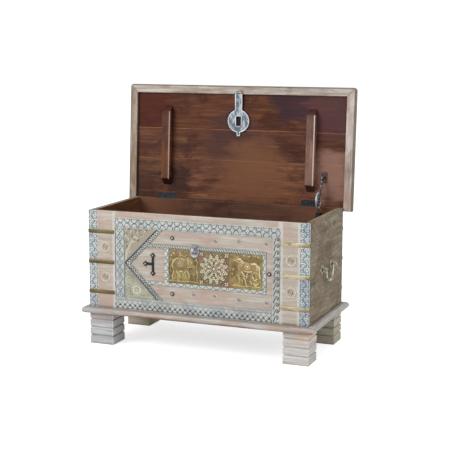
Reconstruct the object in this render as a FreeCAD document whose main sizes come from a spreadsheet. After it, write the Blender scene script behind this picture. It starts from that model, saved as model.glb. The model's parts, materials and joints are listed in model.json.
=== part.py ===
import FreeCAD, Part
import math
import os
import re
import Sketcher

# A carved wooden trunk that stands on four block feet, with its lid thrown open.
# Lengths are millimetres. X runs along the front, Y points to the back and Z is up.
# The origin is on the floor, under the middle of the trunk's outline with the lid open.

os.makedirs("parts", exist_ok=True)
doc = FreeCAD.newDocument("trunk")
sheet = doc.addObject("Spreadsheet::Sheet", "Sizes")

# Every size that can be set by itself, as alias, value and meaning.
DRIVING = [
    ("case_width", 830, "carcass, left face to right face"),
    ("case_depth", 396, "carcass, front face to back face"),
    ("case_top", 490, "top edge of the walls above the floor"),
    ("foot_height", 115, "floor to the underside of the carcass"),
    ("wall", 20, "side and back walls, and the front with its facing"),
    ("floor_board", 15, "bottom board"),
    ("facing", 6, "boards nailed over the front of the carcass"),
    ("corner_strip", 34, "carved strip at each front corner"),
    ("stile_board", 69, "plain board beside each corner strip"),
    ("top_rail", 23, "plain rail over the carved border"),
    ("border_top", 33, "height of the upper carved border"),
    ("border_foot", 65, "height of the lower carved border, down to the carcass base"),
    ("border_left", 40, "width of the left carved border"),
    ("border_right", 28, "width of the right carved border"),
    ("field_board", 4, "sunk board inside the border"),
    ("trim", 3, "thickness of the carved strips on the field"),
    ("sheet_metal", 1.5, "embossed plates and corner bands"),
    ("trim_gap", 1.5, "space left between neighbouring pieces of trim"),
    ("chevron_reach", 126, "arrowhead, point to open end"),
    ("chevron_band", 21, "arrowhead band, measured along X"),
    ("frame_strip", 11, "width of the narrow carved frame"),
    ("frame_top_share", 0.205, "share of the field over the narrow frame"),
    ("frame_foot_share", 0.225, "share of the field under the narrow frame"),
    ("frame_right_inset", 24, "right border to the narrow frame"),
    ("frame_left_post", 15, "width of the frame's left post"),
    ("plate_inset", 171.5, "left border to the row of three embossed plates"),
    ("plate_left_share", 0.33, "share of the row that the left plate takes"),
    ("plate_middle_share", 0.32, "share of the row that the middle plate takes"),
    ("band_height", 14, "brass corner band"),
    ("band_front", 100, "band along the front or back"),
    ("band_side", 39, "band round the side"),
    ("band_first", 80, "carcass base to the lowest band"),
    ("band_last", 75, "top edge to the highest band"),
    ("moulding_out", 23, "base moulding beyond the carcass"),
    ("moulding_height", 23, "base moulding"),
    ("moulding_round", 11, "nose radius of the base moulding"),
    ("foot_side", 92, "square block foot"),
    ("foot_groove", 4, "depth of the V grooves round a foot"),
    ("foot_first", 31, "floor to the lowest groove"),
    ("foot_pitch", 30, "one groove to the next"),
    ("tee_inset", 109, "left border to the tee's upright"),
    ("tee_rise", 3, "middle of the field up to the tee's crossing"),
    ("tee_height", 40, "upright of the tee"),
    ("tee_arm", 22, "arm of the tee"),
    ("tee_bar", 7, "width of the tee's bars"),
    ("tee_thick", 6, "how far the tee stands out"),
    ("tee_lobe", 5.5, "radius of the lobes at the tee's ends"),
    ("stud_radius", 6, "domed bolt head"),
    ("stud_out", 4, "bolt head above the field"),
    ("stud_rim", 1, "height of a bolt head's edge"),
    ("stud_crown", 2.5, "radius of the flat on a bolt head"),
    ("stud_shank", 2.5, "radius of the bolt"),
    ("stud_inset", 184, "left border to the two bolts beside the arrowhead"),
    ("staple_drop", 11, "top of the narrow frame down to the staple"),
    ("boss_radius", 17, "round plate of the staple"),
    ("boss_thick", 3, "round plate of the staple"),
    ("staple_out", 27, "staple eye beyond the front face"),
    ("staple_height", 24, "staple eye"),
    ("staple_thick", 8, "staple eye"),
    ("staple_bore", 6.5, "radius of the padlock hole"),
    ("bail_up", 193, "carcass base to the bail's pivots"),
    ("bail_half", 58, "middle of the side to each bail eye"),
    ("bail_drop", 48, "pivot to the lowest point of the bail"),
    ("bail_wire", 3.5, "radius of the bail"),
    ("bail_elbow", 8, "bend radius beside the eye"),
    ("bail_stand", 12, "pivot beyond the side wall"),
    ("bail_tail", 8, "bail end past the middle of the eye"),
    ("bail_play", 0.3, "clearance of the bail in its eye"),
    ("eye_radius", 8, "outside of the bail eye"),
    ("eye_width", 6, "bail eye along the pivot"),
    ("rose_radius", 15, "round plate behind a bail eye"),
    ("rose_thick", 2, "that plate"),
    ("pin_back", 4, "hinge pin behind the back face"),
    ("lid_gap", 0.5, "closed lid above the walls"),
    ("open_angle", 93.6, "lid from closed to thrown open"),
    ("panel", 18, "lid boards"),
    ("rim_hang", 8, "lid frame below the lid boards"),
    ("rim_clear", 1.5, "lid frame outside the walls"),
    ("rim_front", 31, "width of the front lid rail"),
    ("rim_side", 31.5, "width of the side lid rails"),
    ("rim_tail", 14, "lid behind the hinge pin"),
    ("rim_back_rail", 38, "width of the back lid rail"),
    ("rim_corner", 12, "rounding of the lid corners"),
    ("rim_round", 3, "rounding of the lid edges"),
    ("board_one", 82, "hinge pin to the first joint between lid boards"),
    ("board_two", 152, "hinge pin to the second joint"),
    ("board_three", 267, "hinge pin to the third joint"),
    ("batten_near", 50, "hinge pin to the near end of a batten"),
    ("batten_front_gap", 48.5, "front lid rail to the far end of a batten"),
    ("batten_inset", 127, "side face to the middle of a batten"),
    ("batten_width", 32, "batten"),
    ("batten_height", 28, "batten"),
    ("batten_slope", 26, "length of the sloped ends"),
    ("hinge_inset", 126, "side face to the middle of a hinge"),
    ("hinge_length", 76, "butt hinge"),
    ("hinge_leaf", 20, "pin to the edge of a leaf"),
    ("leaf_thick", 2, "hinge leaf"),
    ("barrel_radius", 3.6, "hinge knuckles"),
    ("barrel_space", 0.4, "free space round the knuckles"),
    ("knuckle_gap", 0.2, "space between knuckles"),
    ("pin_radius", 1.8, "hinge pin"),
    ("pin_play", 0.05, "clearance of a pin in its bore"),
    ("screw_head", 3.6, "radius of a countersunk head"),
    ("screw_shank", 1.9, "radius of a screw"),
    ("screw_length", 14, "screw"),
    ("screw_inset", 13, "end of a leaf to its outer screws"),
    ("screw_back", 12, "pin to the row of screws"),
    ("hasp_inset", 25.5, "front edge of the lid to the hasp's pivot"),
    ("hasp_thick", 3, "hasp plate"),
    ("hasp_stem", 28, "width of the stem"),
    ("hasp_curl", 4.5, "radius of the rolled eye"),
    ("hasp_knuckle", 12, "width of the rolled eye"),
    ("hasp_wire", 2.5, "radius of the wire through the eye"),
    ("hasp_sink", 0.75, "lid rail to the rolled eye"),
    ("hasp_disc_radius", 42.5, "round plate of the hasp"),
    ("hasp_tab_length", 56, "middle of the round plate to the end of the finger tab"),
    ("hasp_tab", 14, "width of the finger tab"),
    ("hasp_lean", 0.75, "degrees off plumb, where the tab rests on the lid boards"),
    ("slot_width", 19, "slot in the hasp"),
    ("slot_height", 35, "slot in the hasp"),
    ("hasp_leg_gap", 1, "wire leg beside the rolled eye"),
    ("hasp_leg", 12, "wire leg inside the lid rail"),
    ("stay_inset", 61, "inside of the side wall to the plane between the stay's arms"),
    ("stay_arm", 3, "thickness of the stay's arms"),
    ("stay_width", 11, "width of the stay's arms"),
    ("stay_space", 0.4, "space between the stay's layers"),
    ("stay_low_in", 34, "hinge pin to the lower pivot, forward"),
    ("stay_low_down", 40, "hinge pin down to the lower pivot"),
    ("stay_high_in", 106, "hinge pin to the upper pivot, along the lid"),
    ("stay_high_out", 12, "upper pivot off the hinge pin's plane"),
    ("elbow_in", 44, "hinge pin to the elbow, forward"),
    ("elbow_up", 27, "hinge pin up to the elbow"),
    ("elbow_disc", 28, "radius of the elbow's disc"),
    ("stay_pivot", 3, "radius of the stay's pivots"),
    ("stay_head", 6, "radius of the pivot heads"),
    ("bracket_length", 40, "stay bracket, along the wood"),
    ("bracket_width", 22, "stay bracket, across"),
    ("bracket_plate", 2.5, "stay bracket plate"),
    ("overrun", 5, "how far a cut runs past the wood"),
]

# Sizes that follow from the ones above.
DERIVED = [
    ("half_width", "case_width / 2"),
    ("lid_inner", "case_depth + pin_back + rim_clear"),
    ("lid_reach", "lid_inner + rim_front"),
    ("lid_half_in", "half_width + rim_clear"),
    ("lid_half_out", "lid_half_in + rim_side"),
    ("panel_under", "lid_gap / 2"),
    ("panel_top", "panel_under + panel"),
    ("rim_under", "panel_under - rim_hang"),
    ("lid_lean", "(lid_reach - rim_round) * sin(open_angle - 90)"
                 " + (panel_top - rim_round) * cos(open_angle - 90) + rim_round"),
    ("centre_at", "(moulding_out - pin_back - lid_lean) / 2"),
    ("front_at", "centre_at - case_depth / 2"),
    ("back_at", "centre_at + case_depth / 2"),
    ("pin_at", "back_at + pin_back"),
    ("pin_height", "case_top + lid_gap / 2"),
    ("stile_in", "half_width - corner_strip - stile_board"),
    ("field_low", "foot_height + border_foot"),
    ("field_high", "case_top - top_rail - border_top"),
    ("field_left", "border_left - stile_in"),
    ("field_right", "stile_in - border_right"),
    ("field_middle", "(field_low + field_high) / 2"),
    ("field_face", "facing - field_board"),
    ("field_height", "field_high - field_low"),
    ("strip_high", "field_high - field_height * frame_top_share"),
    ("strip_low", "field_low + field_height * frame_foot_share"),
    ("strip_right", "field_right - frame_right_inset"),
    ("plate_right", "strip_right - frame_strip - trim_gap"),
    ("plate_left", "field_left + plate_inset"),
    ("plate_zone", "plate_right - plate_left"),
    ("plate_first", "plate_left + plate_zone * plate_left_share"),
    ("plate_second", "plate_first + plate_zone * plate_middle_share"),
    ("plate_high", "strip_high - frame_strip - trim_gap"),
    ("plate_low", "strip_low + frame_strip + trim_gap"),
    ("staple_at", "strip_high - staple_drop"),
    ("tee_at", "field_middle + tee_rise"),
    ("tee_middle", "field_left + tee_inset"),
    ("band_pitch", "(case_top - band_last - foot_height - band_first) / 2"),
    ("bail_height", "foot_height + bail_up"),
    ("hinge_at", "half_width - hinge_inset"),
    ("batten_middle", "half_width - batten_inset"),
    ("batten_far", "lid_inner - batten_front_gap"),
    ("stay_at", "half_width - wall - stay_inset"),
    ("hasp_at", "lid_reach - hasp_inset"),
    ("hasp_out", "rim_hang - panel_under + hasp_sink + hasp_curl"),
    ("hasp_disc", "pin_height - hasp_out - staple_at"),
    ("hasp_tip", "hasp_disc + hasp_tab_length"),
    ("elbow_run", "elbow_in - stay_low_in"),
    ("elbow_climb", "elbow_up + stay_low_down"),
    ("lower_arm", "sqrt(elbow_run * elbow_run + elbow_climb * elbow_climb)"),
    ("stay_top_in", "stay_high_in * cos(open_angle) + stay_high_out * sin(open_angle)"),
    ("stay_top_up", "stay_high_in * sin(open_angle) - stay_high_out * cos(open_angle)"),
    ("upper_run", "stay_top_in - elbow_in"),
    ("upper_climb", "stay_top_up - elbow_up"),
    ("upper_arm", "sqrt(upper_run * upper_run + upper_climb * upper_climb)"),
]

ALIASES = {entry[0] for entry in DRIVING + DERIVED}
for row, entry in enumerate(DRIVING, 1):
    sheet.set(f"A{row}", entry[0])
    sheet.set(f"B{row}", str(entry[1]))
    sheet.set(f"C{row}", entry[2])
    sheet.setAlias(f"B{row}", entry[0])
for row, entry in enumerate(DERIVED, len(DRIVING) + 1):
    sheet.set(f"A{row}", entry[0])
    sheet.set(f"B{row}", "=" + entry[1])
    sheet.setAlias(f"B{row}", entry[0])
doc.recompute()

nodes = []


def tied(formula):
    """Give a formula of aliases the sheet's name in front of each alias."""
    return re.sub(r"[a-z_]+", lambda word: "Sizes." + word[0] if word[0] in ALIASES else word[0],
                  str(formula))


def bind(target, path, formula):
    """Tie one property to the sheet."""
    target.setExpression(path, tied(formula))


def value(formula):
    """Work a formula out now, to start a sketch near its final shape."""
    return float(sheet.evalExpression(tied(formula)))


def subpart(shape_owner):
    """Note an object as one of the trunk's pieces."""
    nodes.append(shape_owner)
    return shape_owner


def body(label):
    """An empty body, labelled with its piece's name."""
    made = doc.addObject("PartDesign::Body", "Body")
    made.Label = label
    return made


def place(target, x=0, y=0, z=0, axis=None, angle=0):
    """Tie an object's place, and its turn about an axis, to the sheet."""
    turned_by = FreeCAD.Rotation(FreeCAD.Vector(*axis), 1) if axis else FreeCAD.Rotation()
    target.Placement = FreeCAD.Placement(FreeCAD.Vector(), turned_by)
    for name, formula in (("x", x), ("y", y), ("z", z)):
        bind(target, "Placement.Base." + name, formula)
    if axis:
        bind(target, "Placement.Rotation.Angle", angle)
    return target


def on_lid(target):
    """Put an object that is drawn round the hinge pin with the lid closed on the open lid."""
    return place(target, y="pin_at", z="pin_height", axis=(-1, 0, 0), angle="open_angle")


def on_front(target):
    """Put an object that is drawn behind the plane Y = 0 on the trunk's front face."""
    return place(target, y="front_at")


def circle(x, y, radius):
    return {"x": x, "y": y, "radius": radius}


def draw(sketch, outlines):
    """Draw closed outlines, each a circle or a list of corners, tied to the sheet."""
    for outline in outlines:
        first = len(sketch.Geometry)
        if isinstance(outline, dict):
            centre = FreeCAD.Vector(value(outline["x"]), value(outline["y"]), 0)
            sketch.addGeometry(Part.Circle(centre, FreeCAD.Vector(0, 0, 1), value(outline["radius"])))
            ties = [("DistanceX", (-1, 1, first, 3), outline["x"]),
                    ("DistanceY", (-1, 1, first, 3), outline["y"]),
                    ("Radius", (first,), outline["radius"])]
        else:
            corners = [FreeCAD.Vector(value(x), value(y), 0) for x, y in outline]
            ties = []
            for index, corner in enumerate(corners):
                after = (index + 1) % len(corners)
                sketch.addGeometry(Part.LineSegment(corner, corners[after]))
            for index, (x, y) in enumerate(outline):
                after = first + (index + 1) % len(corners)
                sketch.addConstraint(Sketcher.Constraint("Coincident", first + index, 2, after, 1))
                ties.append(("DistanceX", (-1, 1, first + index, 1), x))
                ties.append(("DistanceY", (-1, 1, first + index, 1), y))
        for kind, where, formula in ties:
            made = sketch.addConstraint(Sketcher.Constraint(kind, *where, value(formula)))
            bind(sketch, f"Constraints[{made}]", formula)


def sketch_on(owner, plane, start, outlines):
    """A sketch on one of the body's own origin planes, moved along its normal."""
    sketch = owner.newObject("Sketcher::SketchObject", "Outline")
    support = [item for item in owner.Origin.OriginFeatures if item.Role == plane + "_Plane"][0]
    sketch.AttachmentSupport = [(support, "")]
    sketch.MapMode = "FlatFace"
    bind(sketch, "AttachmentOffset.Base.z", start)
    draw(sketch, outlines)
    return sketch


def prism(owner, plane, start, outlines, length, cut=False):
    """Raise or cut outlines along the plane's normal: +Z on XY, -Y on XZ and +X on YZ."""
    sketch = sketch_on(owner, plane, start, outlines)
    feature = owner.newObject("PartDesign::Pocket" if cut else "PartDesign::Pad", "Prism")
    feature.Profile = sketch
    feature.Reversed = cut
    bind(feature, "Length", length)
    return feature


def turned(owner, profile):
    """Turn a profile of radius and height about the body's Z axis."""
    feature = owner.newObject("PartDesign::Revolution", "Turned")
    sketch = sketch_on(owner, "XZ", 0, [profile])
    feature.Profile = sketch
    feature.ReferenceAxis = (sketch, ["V_Axis"])
    feature.Angle = 360
    owner.Tip = feature
    return feature


def rounded(owner, radius, chosen):
    """Round those edges of a body whose middle and direction pass the test."""
    solid = owner.Tip
    doc.recompute()
    names = []
    for number, edge in enumerate(solid.Shape.Edges, 1):
        middle = edge.CenterOfMass
        along = edge.tangentAt(edge.FirstParameter)
        if chosen(middle, along):
            names.append(f"Edge{number}")
    feature = owner.newObject("PartDesign::Fillet", "Rounding")
    feature.Base = (solid, names)
    bind(feature, "Radius", radius)
    owner.Tip = feature
    return feature


def oblong(low_x, high_x, low_y, high_y):
    return [(low_x, low_y), (high_x, low_y), (high_x, high_y), (low_x, high_y)]


def board(label, x, y, z):
    """A straight board between two values on each axis."""
    made = body(label)
    prism(made, "XY", z[0], [oblong(*x, *y)], f"{z[1]} - ({z[0]})")
    return subpart(made)


def group(label, members):
    """Several loose solids of one kind under one name."""
    made = doc.addObject("Part::Compound", "Group")
    made.Label = label
    made.Links = members
    return subpart(made)


def leaf_screws():
    """Places of the three screws of a leaf, along X from the middle of the hinge."""
    return [f"{share} * (hinge_length / 2 - screw_inset)" for share in (-1, 0, 1)]


# Carcass: side walls run from the back to the facing, with front and back between them.
side_depth = ("front_at + facing", "back_at")
board("left_wall", ("-half_width", "wall - half_width"), side_depth, ("foot_height", "case_top"))
board("right_wall", ("half_width - wall", "half_width"), side_depth, ("foot_height", "case_top"))
between = ("wall - half_width", "half_width - wall")
board("front_backing", between, ("front_at + facing", "front_at + wall"), ("foot_height", "case_top"))
board("bottom_board", between, ("front_at + wall", "back_at - wall"),
      ("foot_height", "foot_height + floor_board"))

back_wall = board("back_wall", between, ("back_at - wall", "back_at"), ("foot_height", "case_top"))
for side in (-1, 1):
    middle = f"{side} * hinge_at"
    leaf_seat = oblong(f"{middle} - hinge_length / 2", f"{middle} + hinge_length / 2",
                       "pin_at - hinge_leaf", "back_at + overrun")
    prism(back_wall, "XY", "case_top - leaf_thick", [leaf_seat], "leaf_thick + overrun", cut=True)
    holes = [circle(f"{middle} + {along}", "pin_at - screw_back", "screw_shank + pin_play")
             for along in leaf_screws()]
    prism(back_wall, "XY", "case_top - screw_length - trim_gap", holes,
          "screw_length + trim_gap", cut=True)

# Facing of the front: plain boards, carved strips and the carved border round the sunk field.


def front_piece(label, outline, back, thick):
    """A flat piece on the front, from a depth behind the front face outwards."""
    made = on_front(body(label))
    prism(made, "XZ", f"-({back})", [outline], thick)
    return subpart(made)


for name, side in (("left", -1), ("right", 1)):
    strip_edges = sorted([f"{side} * half_width", f"{side} * (half_width - corner_strip)"], key=value)
    stile_edges = sorted([f"{side} * (half_width - corner_strip)", f"{side} * stile_in"], key=value)
    front_piece(f"{name}_corner_strip", oblong(*strip_edges, "foot_height", "case_top"),
                "facing", "facing")
    front_piece(f"front_{name}_stile", oblong(*stile_edges, "foot_height", "case_top"),
                "facing", "facing")
front_piece("front_top_rail", oblong("-stile_in", "stile_in", "case_top - top_rail", "case_top"),
            "facing", "facing")
front_piece("border_top", oblong("-stile_in", "stile_in", "field_high", "case_top - top_rail"),
            "facing", "facing")
front_piece("border_bottom", oblong("-stile_in", "stile_in", "foot_height", "field_low"),
            "facing", "facing")
front_piece("border_left", oblong("-stile_in", "field_left", "field_low", "field_high"),
            "facing", "facing")
front_piece("border_right", oblong("field_right", "stile_in", "field_low", "field_high"),
            "facing", "facing")

field = front_piece("front_field_board", oblong("field_left", "field_right", "field_low", "field_high"),
                    "facing", "field_board")
bolt_places = [("field_left + stud_inset", "(field_high + strip_high) / 2"),
               ("field_left + stud_inset", "(field_low + strip_low) / 2"),
               ("field_right - frame_right_inset / 2", "field_middle")]
prism(field, "XZ", "-facing - overrun",
      [circle(x, z, "stud_shank + pin_play") for x, z in bolt_places], "facing + 2 * overrun", cut=True)

# Arrowhead of two carved bands that meet at the left edge of the field.
for name, end in (("upper", "field_high"), ("lower", "field_low")):
    front_piece(f"chevron_{name}",
                [("field_left", "field_middle"), ("field_left + chevron_band", "field_middle"),
                 ("field_left + chevron_reach + chevron_band", end), ("field_left + chevron_reach", end)],
                "field_face", "trim")

# Embossed corner plates that fill the triangles behind the arrowhead.
for name, sign, end in (("upper", 1, "field_high"), ("lower", -1, "field_low")):
    front_piece(f"triangle_plate_{name}",
                [("field_left", f"field_middle + {sign} * 2 * trim_gap"),
                 ("field_left + chevron_reach - 2 * trim_gap", end), ("field_left", end)],
                "field_face", "sheet_metal")


def chevron_edge(height):
    """X of the arrowhead's inner edge at a height, with the trim's gap."""
    share = f"abs({height} - field_middle) / (field_high - field_middle)"
    return f"field_left + chevron_band + trim_gap + chevron_reach * {share}"


# Narrow carved frame round the row of embossed plates.
rails = []
for low, high in (("strip_high - frame_strip", "strip_high"), ("strip_low", "strip_low + frame_strip")):
    rail = body("frame_rail")
    prism(rail, "XZ", "-field_face",
          [[(chevron_edge(low), low), ("strip_right", low), ("strip_right", high),
            (chevron_edge(high), high)]], "trim")
    rails.append(rail)
on_front(group("inner_frame_rails", rails))

posts = []
for right, width in (("strip_right", "frame_strip"), ("plate_left - trim_gap", "frame_left_post")):
    post = body("frame_post")
    prism(post, "XZ", "-field_face",
          [oblong(f"{right} - {width}", right, "strip_low + frame_strip", "strip_high - frame_strip")],
          "trim")
    posts.append(post)
on_front(group("inner_frame_posts", posts))

for name, left, right in (("left", "plate_left", "plate_first"),
                          ("middle", "plate_first", "plate_second"),
                          ("right", "plate_second", "plate_right")):
    front_piece(f"brass_plate_{name}", oblong(left, right, "plate_low", "plate_high"),
                "field_face", "sheet_metal")

# Domed bolts through the field board.
bolts = []
for x, z in bolt_places:
    bolt = body("bolt")
    turned(bolt, [(0, "-field_board"), ("stud_shank", "-field_board"), ("stud_shank", 0),
                  ("stud_radius", 0), ("stud_radius", "stud_rim"), ("stud_crown", "stud_out"),
                  (0, "stud_out")])
    place(bolt, x=x, y="field_face", z=z, axis=(1, 0, 0), angle="90")
    bolts.append(bolt)
on_front(group("front_bolts", bolts))

# Iron tee with a lobed end on each of its three arms.
tee = on_front(body("iron_tee"))
prism(tee, "XZ", "-field_face",
      [oblong("tee_middle - tee_bar / 2", "tee_middle + tee_bar / 2",
              "tee_at - tee_height / 2", "tee_at + tee_height / 2")], "tee_thick")
prism(tee, "XZ", "-field_face",
      [oblong("tee_middle - tee_arm", "tee_middle", "tee_at - tee_bar / 2", "tee_at + tee_bar / 2")],
      "tee_thick")
for x, z in (("tee_middle", "tee_at + tee_height / 2 + tee_lobe / 2"),
             ("tee_middle", "tee_at - tee_height / 2 - tee_lobe / 2"),
             ("tee_middle - tee_arm - tee_lobe / 2", "tee_at")):
    prism(tee, "XZ", "-field_face", [circle(x, z, "tee_lobe")], "tee_thick")
subpart(tee)

# Staple: a round plate over the top edge of the plates, and an eye for the padlock.
staple = on_front(body("staple"))
prism(staple, "XZ", "trim - field_face", [circle(0, "staple_at", "boss_radius")], "boss_thick")
prism(staple, "YZ", "-staple_thick / 2",
      [oblong("staple_height / 2 - staple_out", "field_face - trim",
              "staple_at - staple_height / 2", "staple_at + staple_height / 2")], "staple_thick")
prism(staple, "YZ", "-staple_thick / 2",
      [circle("staple_height / 2 - staple_out", "staple_at", "staple_height / 2")], "staple_thick")
prism(staple, "YZ", "-staple_thick", [circle("staple_height / 2 - staple_out", "staple_at", "staple_bore")],
      "2 * staple_thick", cut=True)
subpart(staple)

# Brass bands, three round each corner of the carcass.
bands = []
for side in (-1, 1):
    for face, sign in (("front_at", -1), ("back_at", 1)):
        for step in range(3):
            band = body("band")
            outer_x = f"{side} * (half_width + sheet_metal)"
            outer_y = f"{face} + {sign} * sheet_metal"
            outline = [(f"{side} * (half_width - band_front)", outer_y), (outer_x, outer_y),
                       (outer_x, f"{face} - {sign} * band_side"),
                       (f"{side} * half_width", f"{face} - {sign} * band_side"),
                       (f"{side} * half_width", face),
                       (f"{side} * (half_width - band_front)", face)]
            prism(band, "XY", f"foot_height + band_first + {step} * band_pitch - band_height / 2",
                  [outline], "band_height")
            bands.append(band)
group("corner_bands", bands)

# Base moulding, mitred at the corners. Each length is drawn along X with its nose towards -Y.


def moulding(label, run, x, y, axis, angle):
    """One length of base moulding against a face of the carcass."""
    made = body(label)
    prism(made, "YZ", f"-({run}) / 2 - moulding_out", [oblong("-moulding_out", 0, 0, "moulding_height")],
          f"{run} + 2 * moulding_out")
    rounded(made, "moulding_round",
            lambda middle, along: abs(along.x) > 0.9 and middle.y < -value("moulding_out") / 2)
    for side in (-1, 1):
        prism(made, "XY", "-overrun",
              [[(f"{side} * ({run}) / 2", 0),
                (f"{side} * (({run}) / 2 + moulding_out + overrun)", 0),
                (f"{side} * (({run}) / 2 + moulding_out + overrun)", "-moulding_out - overrun")]],
              "moulding_height + 2 * overrun", cut=True)
    place(made, x=x, y=y, z="foot_height", axis=axis, angle=angle)
    return subpart(made)


moulding("base_moulding_front", "case_width", 0, "front_at", None, 0)
moulding("base_moulding_right", "case_depth", "half_width", "centre_at", (0, 0, 1), 90)
moulding("base_moulding_back", "case_width", 0, "back_at", (0, 0, 1), 180)
moulding("base_moulding_left", "case_depth", "-half_width", "centre_at", (0, 0, -1), 90)

# Block feet with three V grooves round each.
for depth_name, y in (("front", "front_at + foot_side / 2"), ("back", "back_at - foot_side / 2")):
    for side_name, side in (("left", -1), ("right", 1)):
        foot = body(f"foot_{depth_name}_{side_name}")
        prism(foot, "XY", 0, [oblong("-foot_side / 2", "foot_side / 2", "-foot_side / 2", "foot_side / 2")],
              "foot_height")
        for plane in ("XZ", "YZ"):
            grooves = []
            for edge in (-1, 1):
                for step in range(3):
                    level = f"foot_first + {step} * foot_pitch"
                    grooves.append([(f"{edge} * (foot_side / 2 - foot_groove)", level),
                                    (f"{edge} * foot_side / 2", f"{level} + foot_groove"),
                                    (f"{edge} * foot_side / 2", f"{level} - foot_groove")])
            prism(foot, plane, "-foot_side / 2 - overrun", grooves, "foot_side + 2 * overrun", cut=True)
        place(foot, x=f"{side} * (half_width - foot_side / 2)", y=y)
        subpart(foot)

# Bail handles, drawn with the pivot on the Y axis, hanging down.


def draw_bail(sketch):
    """The bail's middle line: a straight end, an elbow, a half circle, an elbow and an end."""
    up = FreeCAD.Vector(0, 0, 1)
    low = value("-bail_elbow")
    drop = value("bail_drop")
    reach = value("bail_half + bail_tail")
    small = value("bail_elbow")
    large = value("bail_drop - bail_elbow")
    quarter = math.pi / 2
    sketch.addGeometry(Part.LineSegment(FreeCAD.Vector(reach, 0, 0), FreeCAD.Vector(drop, 0, 0)))
    for centre, radius, first, last in ((drop, small, 1, 2), (0, large, 2, 4), (-drop, small, 0, 1)):
        arc = Part.Circle(FreeCAD.Vector(centre, low, 0), up, radius)
        sketch.addGeometry(Part.ArcOfCircle(arc, first * quarter, last * quarter))
    sketch.addGeometry(Part.LineSegment(FreeCAD.Vector(-drop, 0, 0), FreeCAD.Vector(-reach, 0, 0)))
    for joint in ((0, 2, 1, 1), (1, 2, 2, 2), (2, 1, 3, 1), (3, 2, 4, 1)):
        sketch.addConstraint(Sketcher.Constraint("Tangent", *joint))
    for kind, piece, point, formula in (
            ("DistanceX", 0, 1, "bail_half + bail_tail"), ("DistanceY", 0, 1, "0"),
            ("DistanceX", 0, 2, "bail_drop"), ("DistanceY", 0, 2, "0"),
            ("DistanceY", 1, 3, "-bail_elbow"),
            ("DistanceX", 2, 3, "0"), ("DistanceY", 2, 3, "-bail_elbow"),
            ("DistanceX", 4, 1, "-bail_drop"), ("DistanceY", 4, 1, "0"),
            ("DistanceX", 4, 2, "-bail_half - bail_tail"), ("DistanceY", 4, 2, "0")):
        made = sketch.addConstraint(Sketcher.Constraint(kind, -1, 1, piece, point, value(formula)))
        bind(sketch, f"Constraints[{made}]", formula)


for name, side in (("left", -1), ("right", 1)):
    bail = body(f"bail_{name}")
    spine = sketch_on(bail, "YZ", 0, [])
    draw_bail(spine)
    section = sketch_on(bail, "XZ", "-bail_half - bail_tail", [circle(0, 0, "bail_wire")])
    pipe = bail.newObject("PartDesign::AdditivePipe", "Wire")
    pipe.Profile = section
    pipe.Spine = (spine, [f"Edge{number}" for number in range(1, 6)])
    bail.Tip = pipe
    place(bail, x=f"{side} * (half_width + bail_stand)", y="centre_at", z="bail_height")
    subpart(bail)

eyes = []
for side in (-1, 1):
    for end in (-1, 1):
        eye = body("bail_eye")
        prism(eye, "YZ", f"{side} * (-bail_stand) - {(1 - side) // 2} * rose_thick",
              [circle(0, 0, "rose_radius")], "rose_thick")
        neck = sorted([f"{side} * (-bail_stand)", "0"], key=value)
        prism(eye, "XZ", "-eye_width / 2",
              [oblong(*neck, "-eye_radius / 2", "eye_radius / 2")], "eye_width")
        prism(eye, "XZ", "-eye_width / 2", [circle(0, 0, "eye_radius")], "eye_width")
        prism(eye, "XZ", "-eye_width", [circle(0, 0, "bail_wire + bail_play")], "2 * eye_width", cut=True)
        place(eye, x=f"{side} * (half_width + bail_stand)", y=f"centre_at + {end} * bail_half",
              z="bail_height")
        eyes.append(eye)
group("bail_eyes", eyes)

# Hinges. Each leaf is drawn round the pin, the case's leaf below it and the lid's above.


def hinge_leaf(sign, turns):
    """A leaf on one side of the pin, with its share of the five knuckles."""
    made = body("leaf")
    face = f"{sign} * lid_gap / 2"
    low = face if sign > 0 else f"{face} - leaf_thick"
    root = "-barrel_radius - barrel_space"
    prism(made, "XY", low, [oblong("-hinge_length / 2", "hinge_length / 2", "-hinge_leaf", root)],
          "leaf_thick")
    for turn in turns:
        start = f"({turn} / 5 - 0.5) * hinge_length + knuckle_gap / 2"
        length = "hinge_length / 5 - knuckle_gap"
        prism(made, "YZ", start, [circle(0, 0, "barrel_radius")], length)
        prism(made, "YZ", start, [oblong(f"{root} - leaf_thick", 0, low, f"{low} + leaf_thick")], length)
    prism(made, "YZ", "-hinge_length", [circle(0, 0, "pin_radius + pin_play")],
          "2 * hinge_length", cut=True)
    for along in leaf_screws():
        sink = made.newObject("PartDesign::SubtractiveCone", "Sink")
        bind(sink, "Height", "leaf_thick")
        bind(sink, "Radius1" if sign < 0 else "Radius2", "screw_shank + pin_play")
        bind(sink, "Radius2" if sign < 0 else "Radius1", "screw_head + pin_play")
        for axis, formula in (("x", along), ("y", "-screw_back"), ("z", low)):
            bind(sink, "Placement.Base." + axis, formula)
    return made


def leaf_screw(sign, side, along):
    """A countersunk screw through a leaf, its head flush with the leaf's face."""
    made = body("screw")
    turned(made, [(0, 0), ("screw_head", 0), ("screw_shank", "-leaf_thick"),
                  ("screw_shank", "-screw_length"), (0, "-screw_length")])
    place(made, x=f"{side} * hinge_at + {along}", y="-screw_back", z=f"{sign} * lid_gap / 2",
          axis=(1, 0, 0), angle="0" if sign < 0 else "180")
    return made


case_leaves = [place(hinge_leaf(-1, (0, 2, 4)), x=f"{side} * hinge_at") for side in (-1, 1)]
lid_leaves = [place(hinge_leaf(1, (1, 3)), x=f"{side} * hinge_at") for side in (-1, 1)]
place(group("hinge_case_leaves", case_leaves), y="pin_at", z="pin_height")
on_lid(group("hinge_lid_leaves", lid_leaves))

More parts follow.
